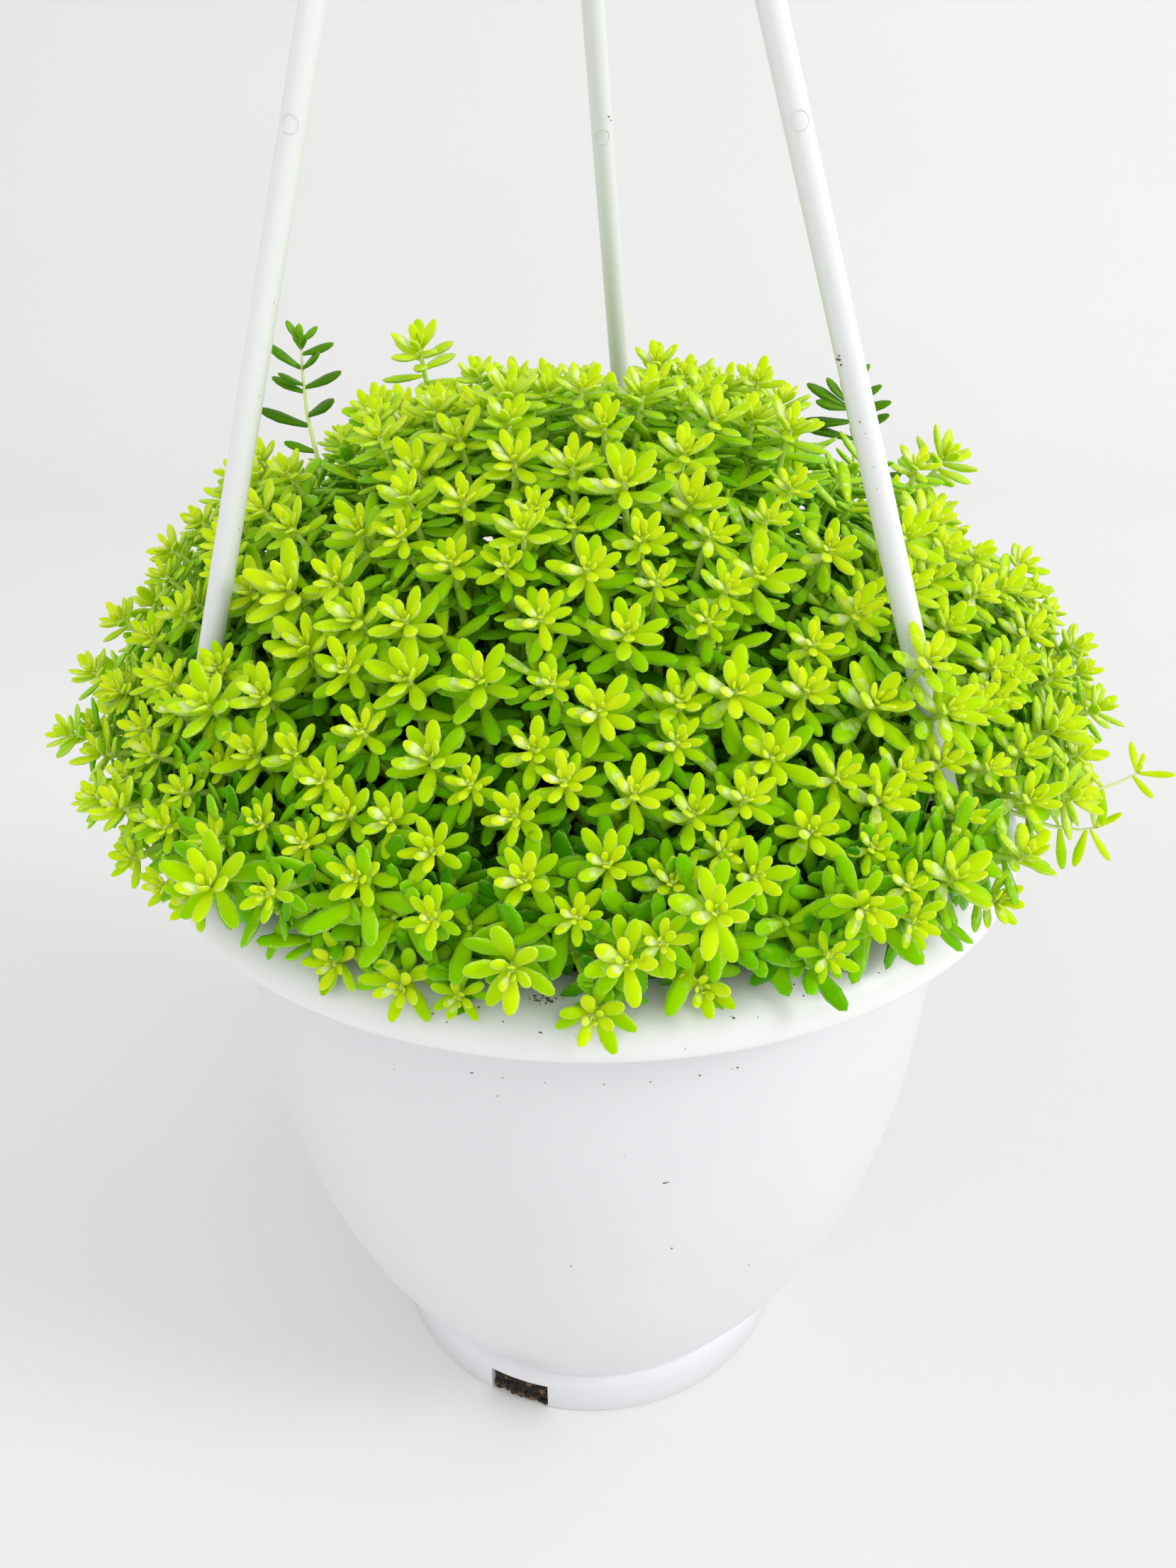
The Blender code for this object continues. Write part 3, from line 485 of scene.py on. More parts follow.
# Height above the hub's lower face, and radius
boss = np.array([
    [0.0, 0.0098], [0.0003, 0.0104], [0.0008, 0.011], [0.002, 0.0112], [0.005, 0.0107],
    [0.0075, 0.0095], [0.01, 0.0074], [0.012, 0.0055], [0.0138, 0.004], [0.0155, 0.003],
    [0.017, 0.0025]])
bend = np.radians(np.linspace(270.0, -35.0, 64))[4:]
stalk = HUB * [1, 1, 0] + (HUB_LOW + boss[:, :1]) * [0, 0, 1]
loop = np.stack([HUB[0] + HOOK_RADIUS * np.cos(bend), np.full(60, HUB[1]),
                 HOOK_CENTRE + HOOK_RADIUS * np.sin(bend)], 1)
end = loop[-1] + np.outer([0.0006, 0.0011, 0.0014], unit(loop[-1] - loop[-2]))
hook_radii = np.concatenate([boss[:, 1], np.full(60, HOOK_THICKNESS), [0.0018, 0.0012, 0.0006]])
hook = swept("hub_and_hook", np.concatenate([stalk, loop, end]), hook_radii, 32, [rod_white])
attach(hook, "root")
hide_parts("hanger_hook")


# Golden shoots: a few hundred pale juicy stems that branch out of each planted tuft. Each ends in a
# star of blunt fleshy leaves around a bud of tiny ones, and carries wider spaced, greener leaves
# below. Together the stars cover a mound that spills over the rim.
MOUND_SIDE, MOUND_FRONT, MOUND_BACK, MOUND_APEX = 0.0945, 0.0875, 0.0897, 0.003
MOUND_TOP, MOUND_SHOULDER, MOUND_SKIRT, FRONT_POWER, BACK_POWER = 0.2105, 0.153, 0.017, 1.3, 0.35
STAR_INSET, STAR_WIDTH, STAR_REACH = 0.0035, 0.0122, 0.0105
SPIRAL, DEEP, GOLDEN_ANGLE = 700, 330, 137.50776


def mound(share, angle):
    """A point of the mound, in plan two half ellipses. Share 0 is the top and 1 the shoulder, with a
    height that falls as a power of one less share squared; from 1 to 2 it drops down the skirt."""
    turn = np.radians(angle)
    depth = np.where(np.sin(turn) < 0, MOUND_FRONT, MOUND_BACK)
    reach = 1.0 / np.hypot(np.cos(turn) / MOUND_SIDE, np.sin(turn) / depth)
    out = np.minimum(share, 1.0)
    front = 0.5 - 0.5 * np.clip(1.6 * np.sin(turn), -1.0, 1.0)
    power = BACK_POWER + (FRONT_POWER - BACK_POWER) * front ** 1.6
    dome = MOUND_SHOULDER + (MOUND_TOP - MOUND_SHOULDER) * (1.0 - out * out) ** power
    height = np.where(share <= 1.0, dome, MOUND_SHOULDER - MOUND_SKIRT * (share - 1.0))
    across, away = reach * np.cos(turn) * out, MOUND_APEX + (reach * np.sin(turn) - MOUND_APEX) * out
    return np.stack([across, away, height], -1)


def mound_normal(share, angle):
    """The direction out of the mound: the cross product of a short step down and one around."""
    low = np.clip(share - 0.01, 0.02, 1.97)
    down = mound(low + 0.02, angle) - mound(low, angle)
    ring = np.maximum(share, 0.02)
    return unit(np.cross(down, mound(ring, angle + 1.0) - mound(ring, angle - 1.0)))


# The stars that show best: across and down in a view of this width, and width there
VIEW_WIDTH = 1500
STARS = np.array([
    [758, 1300, 100], [896, 1262, 98], [800, 1228, 108], [652, 1240, 122], [512, 1262, 106],
    [425, 1232, 92], [585, 1275, 70], [845, 1203, 80], [243, 1150, 80], [1060, 1222, 62],
    [1107, 1160, 95], [1168, 1178, 75], [1275, 1150, 80], [735, 1170, 65], [550, 1172, 75],
    [455, 1120, 85], [340, 1140, 70], [668, 1122, 95], [775, 1102, 95], [858, 1125, 85],
    [965, 1118, 90], [385, 1075, 70], [550, 1085, 85], [497, 1045, 85], [655, 1040, 85],
    [270, 1072, 75], [410, 995, 80], [330, 1050, 70], [810, 1010, 95], [885, 1035, 95],
    [1037, 1060, 95], [720, 995, 80], [548, 965, 105], [680, 955, 85], [375, 960, 80],
    [985, 965, 110], [765, 905, 95], [460, 930, 75], [1070, 990, 85], [940, 880, 110], [865, 945, 75],
    [335, 885, 90], [610, 865, 110], [440, 850, 85], [1120, 895, 120], [1205, 970, 85],
    [1250, 900, 85], [1190, 840, 90], [515, 790, 95], [800, 805, 95], [690, 785, 80], [1095, 780, 80],
    [365, 750, 125], [575, 715, 75], [645, 720, 75], [750, 725, 90], [820, 685, 85], [970, 730, 105],
    [840, 740, 60], [910, 680, 70], [680, 645, 60], [590, 635, 85], [510, 680, 75], [1060, 700, 80],
    [980, 660, 60], [1040, 820, 70], [430, 620, 90], [365, 600, 70], [730, 590, 85], [875, 575, 85],
    [585, 555, 90], [770, 540, 80], [480, 520, 80], [610, 515, 70], [1115, 1080, 65],
    [1160, 1130, 70], [1230, 1040, 75], [190, 960, 70], [230, 1010, 70], [280, 850, 70],
    [220, 905, 65], [150, 880, 60], [1310, 960, 75], [1270, 850, 70], [600, 1000, 60],
    [925, 1085, 60], [905, 790, 65], [1010, 620, 65], [1120, 640, 60], [1210, 700, 65],
    [705, 870, 60],
    # towards the left edge
    [253, 662, 60], [215, 697, 65], [209, 732, 60], [150, 788, 65], [191, 809, 65], [115, 855, 65],
    [147, 879, 65], [330, 583, 58], [298, 602, 55], [428, 572, 60], [205, 1130, 58], [83, 935, 70],
    [115, 926, 55], [180, 929, 70], [121, 1016, 65], [156, 990, 55], [165, 1096, 65], [191, 1043, 60],
    [209, 1055, 60], [227, 779, 60], [279, 727, 50], [262, 800, 50], [273, 860, 60],
    # towards the right edge
    [1305, 718, 65], [1322, 756, 60], [1281, 750, 60], [1375, 823, 65], [1381, 855, 60],
    [1404, 902, 75], [1363, 914, 60], [1381, 961, 70], [1316, 803, 65], [1246, 709, 65],
    [1273, 889, 75], [1238, 909, 75], [1293, 867, 65], [1266, 980, 60],
    # along the top
    [609, 475, 65], [656, 478, 65], [697, 480, 60], [762, 466, 70], [838, 460, 75], [872, 478, 65],
    [475, 524, 70], [925, 485, 65], [967, 484, 70], [1023, 503, 65], [1172, 592, 60]]) * PHOTO[0] / VIEW_WIDTH
# The lowest and the highest that a star may be seen, across and down in the same view
LIP_LINE = np.array([
    [0, 1050], [160, 1110], [230, 1175], [390, 1205], [470, 1285], [600, 1305], [700, 1285], [745, 1325],
    [860, 1290], [940, 1290], [980, 1240], [1060, 1250], [1100, 1205], [1250, 1200], [1300, 1175],
    [1340, 1070], [1500, 1060]]) * PHOTO[0] / VIEW_WIDTH
TOP_LINE = np.array([
    [0, 900], [78, 860], [140, 781], [227, 664], [273, 600], [318, 570], [352, 570], [404, 556],
    [422, 530], [469, 498], [566, 461], [664, 453], [859, 445], [937, 469], [1055, 488], [1085, 508],
    [1103, 560], [1123, 586], [1172, 586], [1219, 654], [1250, 687], [1289, 713], [1332, 727],
    [1367, 810], [1406, 877], [1500, 900]]) * PHOTO[0] / VIEW_WIDTH
# The dark sprigs' stems, which the stars leave in view: angle, radius and height
DARK_LEFT = around(*np.array([[141.1, 0.042, 0.129], [141.1, 0.06, 0.15], [141.1, 0.075, 0.175],
                              [141.0, 0.0785, 0.19], [140.6, 0.079, 0.2], [140.3, 0.0785, 0.2088]]).T)
DARK_RIGHT = around(*np.array([[51.1, 0.044, 0.129], [46.5, 0.068, 0.1515], [42.4, 0.0855, 0.174],
                               [44.6, 0.0847, 0.1836], [46.1, 0.0824, 0.1914], [47.0, 0.0812, 0.197]]).T)
chance = np.random.default_rng(27)
share_grid, angle_grid = np.meshgrid(np.linspace(0.0, 1.98, 397), np.arange(0, 360, 0.5), indexing="ij")
skin_out = mound_normal(share_grid, angle_grid)
skin = mound(share_grid, angle_grid)
toward = np.sum(skin_out * (EYE - skin), -1) > 0
skin = skin - STAR_INSET * skin_out
across, down, far = seen_at(skin)
tips, outs, sizes = [], [], []
for x, y, wide in STARS:
    miss = np.hypot(across - x, down - y)
    near = np.where(toward & (miss < miss[toward].min() + 3.0), far, 9.0)
    spot = np.unravel_index(np.argmin(near), near.shape)
    pixels = REACH / far[spot]
    aside = ((x - across[spot]) * np.array([1, 0, 0]) - (y - down[spot]) * ABOVE) / pixels
    tips.append(skin[spot] + aside)
    outs.append(skin_out[spot])
    sizes.append(np.clip(wide / pixels / STAR_WIDTH, 0.6, 1.45))
for number in range(SPIRAL):
    angle = GOLDEN_ANGLE * number % 360.0
    share_line = np.linspace(0, 1.98, 100)
    line = mound(share_line, np.full(100, angle))
    run = np.linalg.norm(np.diff(line, axis=0), axis=1) * (line[1:, :2] ** 2).sum(1) ** 0.5
    area = np.concatenate([[0.0], np.cumsum(run)])
    share = np.interp((number + 0.5) / SPIRAL * area[-1], area, share_line)
    out = mound_normal(share, angle)
    size = chance.uniform(0.72, 1.1)
    inset = chance.uniform(0.0025, 0.0075) * (1.0 - 0.6 * out[2] ** 2)
    spot = mound(share, angle) - inset * out + chance.normal(0, 0.0012, 3)
    across, down, far = seen_at(spot)
    margin = 0.005 * REACH / far
    if spot[1] < 0 and down > np.interp(across, *LIP_LINE.T) - margin:
        continue
    for drop in (0.0, 0.004, 0.008, 0.012, 0.016, 0.02):
        across, down, far = seen_at(spot - [0, 0, drop])
        if down > np.interp(across, *TOP_LINE.T) + 0.9 * margin:
            break
    spot = spot - [0, 0, drop]
    room = np.min(np.linalg.norm(np.array(tips) - spot, axis=1) / (np.array(sizes) + size))
    if room > 0.004:
        tips.append(spot)
        outs.append(out)
        sizes.append(size)
tips, outs, sizes = np.array(tips), np.array(outs), np.array(sizes)

# A star faces out of the mound and a little up, and leans to the light that comes over the eye:
# the listed stars most, those at the back and at the sides least
listed = np.arange(len(tips)) < len(STARS)
lift = 0.15 + 0.35 * (1.0 - outs[:, 2:]) + chance.uniform(-0.08, 0.08, (len(tips), 1))
lean = np.where(listed, 0.65, np.where(tips[:, 1] < 0.04, 0.3, 0.05))
lean = (lean * np.interp(np.abs(tips[:, 0]), [0.064, 0.088], [1.0, 0.35]))[:, None] * unit(EYE - tips)
facings = unit(outs + lift * [0, 0, 1] + lean + chance.normal(0, 0.13, tips.shape))


def along_knots(knots, count=33):
    """Even points along the broken line through the knots, its corners rounded by averaging."""
    knots = np.array(knots)
    for _ in range(3):
        mid = (knots[:-1] + knots[1:]) / 2
        knots = np.concatenate([knots[:1], mid, knots[-1:]])
    run = np.concatenate([[0], np.cumsum(np.linalg.norm(np.diff(knots, axis=0), axis=1))])
    even = np.linspace(0, run[-1], count)
    return np.stack([np.interp(even, run, knots[:, k]) for k in range(3)], 1)


# Stars in front of the rim slide along the line of sight until they lie on it, 5 mm off its plastic
path = tips[:, None] + unit(tips - EYE)[:, None] * np.linspace(0.0, 0.009, 46)[:, None]
beyond = (np.hypot(path[..., 0], path[..., 1]) - RIM_CENTRE_RADIUS) / (rim_width + 0.005)
close = np.hypot(beyond, (path[..., 2] - RIM_LOW) / (RIM_RISE + 0.005)) < 1.0
slid = (tips[:, 1] < -0.02) & close.any(1) & ~close[:, 0]
tips = np.where(slid[:, None], path[np.arange(len(tips)), np.maximum(close.argmax(1) - 1, 0)], tips)

# Where a rod or a dark sprig shows in front of the leaves, no star stands between it and the eye.
# Below the heights given here the leaves hide the rods: a listed star that a rod would hide comes
# 6 mm in front of it, and any other star in its way comes 8 mm forward.
BARE_FROM = {"left": 0.172, "right": 0.177, "rear": 0.205}


def beside_line(points, line):
    """Distance of each point from a line as seen, how much farther away than the line it is, and
    which point of the line is the nearest to it."""
    x, y, far = seen_at(points)
    line_x, line_y, line_far = seen_at(line)
    gap = np.hypot(x[:, None] - line_x, y[:, None] - line_y) * line_far / REACH
    nearest = np.argmin(gap, 1)
    return gap.min(1), far - line_far[nearest], nearest


kept, in_front = np.ones(len(tips), bool), np.zeros(len(tips), bool)
clear = [(along_knots(DARK_LEFT)[-11:], 0.0022), (along_knots(DARK_RIGHT)[-8:], 0.006)]
height = np.linspace(SEAT_HEIGHT, 0.36, 400)
room = 0.003 + 0.002 * sizes
for side, (seat, way) in rods.items():
    rod_line = seat + way * ((height - seat[2]) / way[2])[:, None]
    gap, behind, nearest = beside_line(tips, rod_line)
    hidden = listed & (gap < 0.0018 + 0.004 * sizes) & (np.abs(behind) < 0.012)
    hidden = hidden & (height[nearest] < BARE_FROM[side])
    beside = np.linalg.norm(np.cross(tips - seat, way), axis=1)
    forward = ~hidden & (beside < room) & (tips[:, 2] < BARE_FROM[side] - 0.004)
    move = np.where(hidden, np.maximum(behind + 0.006, 0), 0.008 * forward)
    tips = tips - move[:, None] * unit(tips - EYE)
    kept &= (beside > room) | hidden | forward
    in_front |= hidden
    clear.append((rod_line[height > BARE_FROM[side]], 0.0018))
for line, wide in clear:
    gap, behind, _ = beside_line(tips, line)
    kept &= in_front | (gap >= wide + 0.0046 * sizes) | (behind >= 0)

# Longer shoots that stand out of the mound: place, the way that they face, size
LONG = [((-0.036, 0.05, 0.208), (-0.1, -0.6, 1.0), 1.15),
        ((0.0745, 0.04, 0.1876), (0.6, -0.3, 1.0), 1.18)]
long_tips, long_ways, long_sizes = (np.array(values) for values in zip(*LONG))
tips = np.concatenate([tips[kept], long_tips])
facings = np.concatenate([facings[kept], unit(long_ways)])
sizes = np.concatenate([sizes[kept], long_sizes])

# Shorter shoots under the others, in their shade, with older leaves only, where the photograph's
# view shows them between these pixels across
DEEP_LEFT, DEEP_RIGHT = 200, 1375
number = np.arange(DEEP)
share = 1.5 * np.sqrt((number + 0.5) / DEEP)
angle = GOLDEN_ANGLE * number + 68.0
deep_outs = mound_normal(share, angle)
deep_tips = mound(share, angle) - chance.uniform(0.0085, 0.015, (DEEP, 1)) * deep_outs
deep_facings = unit(deep_outs + [0, 0, 0.5] + chance.normal(0, 0.2, (DEEP, 3)))
deep_sizes = chance.uniform(1.05, 1.4, DEEP)
across = seen_at(deep_tips)[0]
inner = (across > DEEP_LEFT) & (across < DEEP_RIGHT)
deep_tips, deep_facings, deep_sizes = deep_tips[inner], deep_facings[inner], deep_sizes[inner]

# One star from its bud outwards, then the leaves down the stem: millimetres below the tip, angle up
# from square to the stem, length in millimetres, width as a share of it, upward bend, and age
MM = 0.001
LEAVES = np.array([
    [0, 80, 1.7, 0.5, 0.02, 0], [0.1, 72, 2.2, 0.49, 0.02, 0.02], [0.2, 65, 2.8, 0.48, 0.03, 0.04],
    [0.3, 59, 3.4, 0.47, 0.03, 0.06], [0.5, 53, 4.5, 0.43, 0.05, 0.08], [0.7, 48, 5, 0.43, 0.05, 0.1],
    [0.9, 43, 5.4, 0.42, 0.04, 0.12], [1.2, 38, 5.8, 0.41, 0.03, 0.15], [1.5, 31, 6.4, 0.39, 0.02, 0.24],
    [1.8, 27, 6.7, 0.38, 0.02, 0.27], [2.2, 24, 6.9, 0.38, 0.01, 0.3], [2.6, 21, 7.1, 0.38, 0, 0.34],
    [3.1, 19, 7.3, 0.38, -0.01, 0.4], [3.8, 15, 7.6, 0.38, -0.02, 0.5], [4.7, 11, 7.9, 0.38, -0.03, 0.6],
    [5.8, 8, 8.2, 0.38, -0.03, 0.68], [7.1, 6, 8.4, 0.38, -0.03, 0.74], [8.6, 6, 8.5, 0.38, -0.02, 0.8],
    [10.3, 9, 8.5, 0.37, 0, 0.85], [12.2, 13, 8.4, 0.37, 0.03, 0.9], [14.3, 18, 8.2, 0.36, 0.04, 0.94],
    [16.6, 22, 8, 0.36, 0.04, 0.97], [19.1, 25, 7.6, 0.36, 0.04, 1]]) * [MM, 1, MM, 1, 1, 1]
# The shaded shoots' leaves are 0.3 older and so darker green: partly their own older colour, partly painted
# shade
SHADED = (LEAVES[8:20] + [-0.0012, 0, 0, 0, 0, 0.3]) * [1.35, 1, 1, 0.88, 1, 1]
LEAF_TURN = 137.5
# The way to the window light: leaf tops that face it get a painted highlight, a pale patch for its reflection
PAINTED_HIGHLIGHT_WAY = np.array([0.7, -0.4, 0.59])
# Where a leaf has its rings, as shares of its length
FINE, PLAIN = (0.06, 0.32, 0.58, 0.81, 0.955), (0.07, 0.36, 0.66, 0.91)


def square_to(ways):
    """Two directions square to each way and to each other."""
    one = unit(np.cross(ways, [0.21, 0.93, 0.3]))
    return one, np.cross(ways, one)


def blade_width(along):
    """Half width of a leaf along it, as a share of the greatest: a narrow foot that swells as an
    eased step to two thirds of the way, then a blunt tip that closes like a flattened ellipse."""
    swell = np.clip(along / 0.6, 0, 1)
    swell = 0.38 + 0.62 * swell * swell * (3 - 2 * swell)
    close = np.clip((along - 0.52) / 0.48, 0, 1)
    return swell * (1 - close ** 2.4) ** 0.5


def leaves(base, way, top, length, width, bend, age, dye, along, sides):
    """Fleshy leaves as closed tubes. Along a leaf the middle line leaves its base straight and bends
    towards its top face with the square of the distance; around it the section is an ellipse, three
    fifths as thick as wide, flattened on top with a faint channel. Returns corners, faces, triangles,
    the dye of each corner (age, place along the leaf, nearness to its margin, a number of its own),
    the painted highlight, most in the middle of a top that looks to the window, and finish 0."""
    along = np.array(along)
    turn = 2 * np.pi * np.arange(sides) / sides
    half_wide = 0.5 * (length * width)[:, None] * blade_width(along)
    thick = 0.62 * half_wide * (1.15 - 0.35 * along)
    rise = (bend * length)[:, None] * along ** 2
    middle = base[:, None] + way[:, None] * (length[:, None] * along)[..., None]
    middle = middle + top[:, None] * rise[..., None]
    side = np.cross(way, top)
    over = np.where(np.sin(turn) > 0.8, 0.6, np.where(np.sin(turn) > 0, 0.9, 1.0)) * np.sin(turn)
    skin = (middle[:, :, None] + side[:, None, None] * (half_wide[..., None] * np.cos(turn))[..., None]
            + top[:, None, None] * (thick[..., None] * over)[..., None])
    tip = base + way * length[:, None] + top * (bend * length)[:, None]
    place = np.append(np.repeat(along, sides), [0.0, 1.0])
    margin = np.append(np.tile(np.abs(np.cos(turn)) ** 3, len(along)), [0.0, 1.0])
    colour = np.stack(np.broadcast_arrays(age[:, None], place, margin, dye[:, None]), -1)
    # Painted highlight: how squarely a leaf's top faces the window, most in the middle of the top
    lit = np.clip((top @ PAINTED_HIGHLIGHT_WAY - 0.81) / 0.14, 0, 1)[:, None, None]
    lit = lit * np.sin(np.pi * np.clip(along / 0.9, 0, 1))[:, None] * np.clip(np.sin(turn), 0, 1)
    painted_highlight = np.pad(lit.reshape(len(base), -1), ((0, 0), (0, 2)))
    return (*closed_tubes(skin, base, tip), colour.reshape(-1, 4), painted_highlight.ravel(), 0)


def stems(curve, low, high, sides, foot_tone, tip_tone):
    """Round tubes along curves sampled at the same shares, thick as a straight line from the low to
    the high radius, less two fifths at the very tip, with the same channels as the leaves, their
    place along the stem dyed from one tone to the other, and finish 1."""
    share = np.linspace(0, 1, curve.shape[1])
    one, two = (way[:, :, None] for way in square_to(unit(np.gradient(curve, axis=1))))
    turn = -2 * np.pi * np.arange(sides)[:, None] / sides
    radius = ((low + (high - low) * share) * (1 - 0.4 * share ** 8))[:, None, None]
    skin = curve[:, :, None] + radius * (np.cos(turn) * one + np.sin(turn) * two)
    place = foot_tone + (tip_tone - foot_tone) * np.append(np.repeat(share, sides), [0.0, 1.0])
    own = chance.uniform(0, 1, (len(curve), 1))
    colour = np.stack(np.broadcast_arrays(0.0, place, 0.0, own), -1).reshape(-1, 4)
    return (*closed_tubes(skin, curve[:, 0], curve[:, -1]), colour, np.zeros(len(colour)), 1)


# A star lower than this and farther out than the pot's mouth has its stem laid over the rim
LOW_STARS, MOUTH_RADIUS = 0.162, 0.066


def shoot_curves(roots, tips, facings):
    """Cubic curves from root to tip: they leave the soil upwards, and arrive along the way that the
    star faces. A shoot that ends outside the rim first climbs over it."""
    rise = 0.45 * np.linalg.norm(tips - roots, axis=1)
    low = (tips[:, 2] < LOW_STARS) & (np.hypot(tips[:, 0], tips[:, 1]) > MOUTH_RADIUS)
    over = roots + 0.3 * (tips - roots) * [1, 1, 0] + rise[:, None] * [0, 0, 1]
    climb = roots * [1, 1, 0] + 0.42 * (tips - roots) * [1, 1, 0] + [0, 0, 0.158]
    first = np.where(low[:, None], climb, over)
    last = tips - facings * np.where(low, 0.55 * STAR_REACH, STAR_REACH)[:, None]
    outside = np.hypot(last[:, 0], last[:, 1])
    ledge = 1 - ((outside - RIM_CENTRE_RADIUS) / rim_width) ** 2
    ledge = RIM_LOW + RIM_RISE * np.sqrt(np.clip(ledge, 0, 1)) + 0.0018
    over_rim = low & (outside > MOUTH_RADIUS) & (outside < RIM_RADIUS)
    last[:, 2] = np.where(over_rim, np.maximum(last[:, 2], ledge), last[:, 2])
    t = np.linspace(0, 1, 33)[None, :, None]
    a, b, c, d = roots[:, None], first[:, None], last[:, None], tips[:, None]
    return (1 - t) ** 3 * a + 3 * (1 - t) ** 2 * t * b + 3 * (1 - t) * t ** 2 * c + t ** 3 * d


def leafy(curve, facings, sizes, age_with_painted_shade, table, first_turn):
    """The leaves of some shoots. Each row of the table is found down the curve from the tip, turned
    round the stem by the golden angle from the one above, and shaken a little. The last millimetres
    of the stem nod to the way that the star faces, by a share that falls with e per 4 mm."""
    shape = len(curve), len(table)
    back = curve[:, ::-1]
    run = np.cumsum(np.linalg.norm(np.diff(back, axis=1, prepend=back[:, :1]), axis=2), 1)
    along = -unit(np.gradient(back, axis=1))
    want = table[:, 0] * np.minimum(sizes, 1.1)[:, None]
    spot = np.array([np.searchsorted(r, w) for r, w in zip(run, want)]).clip(1, run.shape[1] - 1)
    pick = np.arange(len(curve))[:, None]
    part = ((want - run[pick, spot - 1]) / (run[pick, spot] - run[pick, spot - 1])).clip(0, 1)[..., None]
    place = back[pick, spot - 1] * (1 - part) + back[pick, spot] * part
    up = unit(along[pick, spot - 1] * (1 - part) + along[pick, spot] * part)
    nod = np.exp(-want / 0.004)[..., None]
    up = unit(up * (1 - nod) + facings[:, None] * nod)
    one, two = square_to(up)
    turn = np.radians(LEAF_TURN * np.arange(len(table)) + first_turn[:, None] + chance.normal(0, 7.0, shape))
    out = np.cos(turn)[..., None] * one + np.sin(turn)[..., None] * two
    climb = np.radians(table[:, 1] + chance.normal(0, 5.0, shape))[..., None]
    way = np.cos(climb) * out + np.sin(climb) * up
    top = np.cos(climb) * up - np.sin(climb) * out
    length = table[:, 2] * sizes[:, None] * chance.uniform(0.9, 1.1, shape)
    width = table[:, 3] * chance.uniform(0.93, 1.07, shape)
    bend = table[:, 4] + chance.normal(0, 0.02, shape)
    age = np.clip(0.86 * age_with_painted_shade[:, None] * table[:, 5] + chance.normal(0, 0.03, shape), 0, 1)
    dye = np.clip(chance.uniform(0, 1, (len(curve), 1)) * 0.6 + chance.uniform(0, 0.4, shape), 0, 1)
    base = place + out * 0.0003
    return [a.reshape(-1, 3) for a in (base, way, top)] + [a.ravel() for a in (length, width, bend, age, dye)]


def dye_channels(finish):
    """The dye's four channels: Red, Green and Blue by name, and the fourth."""
    dye = finish.node("Attribute", attribute_name="dye").outputs
    return finish.node("SeparateColor", {"Color": dye["Color"]}).outputs, dye["Alpha"]


def leaf_finish(name, stops, base_pale, edge_pale, painted_highlight_colour, spread):
    """Leaf skin: colour by age, paler at the foot and along the margin, varied from shoot to shoot,
    with a painted highlight on tops that face the window, fine pores, a soft gloss and light that
    soaks into the flesh."""
    finish = Finish(name)
    part, own = dye_channels(finish)
    cloud = finish.noise(420.0, 3.0)
    age = finish.maths("ADD", part["Red"], finish.spread(cloud, 0.0, 1.0, -0.07, 0.07))
    age = finish.maths("ADD", age, finish.spread(own, 0.0, 1.0, -spread, spread))
    age = finish.maths("ADD", age, finish.spread(part["Green"], 0.3, 1.0, -0.03, 0.11))
    young = finish.spread(age, 0.15, 0.75, 1.0, 0.3)
    foot = finish.maths("MULTIPLY", finish.spread(part["Green"], 0.0, 0.55, 0.5, 0.0), young)
    skin = finish.blend(foot, finish.ramp(age, *stops), base_pale)
    # Painted highlight: where the attribute marks tops that face the window, the skin goes towards the pale
    # highlight colour, broken up by noise
    painted_highlight = finish.node("Attribute", attribute_name="painted_highlight").outputs["Fac"]
    patch = finish.spread(finish.noise(900.0), 0.3, 0.7, -0.25, 0.25)
    painted_highlight = finish.maths("ADD", finish.maths("MULTIPLY", painted_highlight, young), patch)
    skin = finish.blend(finish.spread(painted_highlight, 0.3, 0.85, 0.0, 0.95), skin, painted_highlight_colour)
    teeth = finish.maths("MULTIPLY", part["Blue"], finish.noise(2600.0, 1.0))
    rim = finish.maths("MULTIPLY", finish.spread(teeth, 0.28, 0.52, 0.0, 0.65), young)
    rim = finish.maths("MULTIPLY", rim, finish.spread(part["Green"], 0.15, 0.5))
    return finish.made({
        "Base Color": finish.blend(rim, skin, edge_pale),
        "Roughness": finish.spread(cloud, 0.0, 1.0, 0.2, 0.32),
        "Normal": finish.bump(finish.noise(3400.0), 0.18, 0.0001),
        "Subsurface Weight": 0.4, "Subsurface Radius": (0.0014, 0.002, 0.0003), "Subsurface Scale": 1.0,
        "IOR": 1.28, "Specular IOR Level": 0.5, "Specular Tint": (1.0, 1.0, 0.02, 1.0)})


# After the age stops: pale foot colour, pale margin colour, painted highlight colour, and spread of age
# between shoots
golden = leaf_finish("golden_leaf_skin", [
    (0.00, (0.72, 0.88, 0.014)), (0.16, (0.59, 0.81, 0.005)), (0.34, (0.45, 0.73, 0.002)),
    # The darkest, oldest stops are partly the old leaves' own deep green, partly painted shade for leaves
    # deep in the mound
    (0.54, (0.31, 0.65, 0.001)), (0.8, (0.15, 0.49, 0.001)), (1.00, (0.04, 0.25, 0.0005))],
    (0.7, 0.85, 0.02), (0.84, 0.94, 0.42), (0.8, 0.93, 0.5), 0.09)
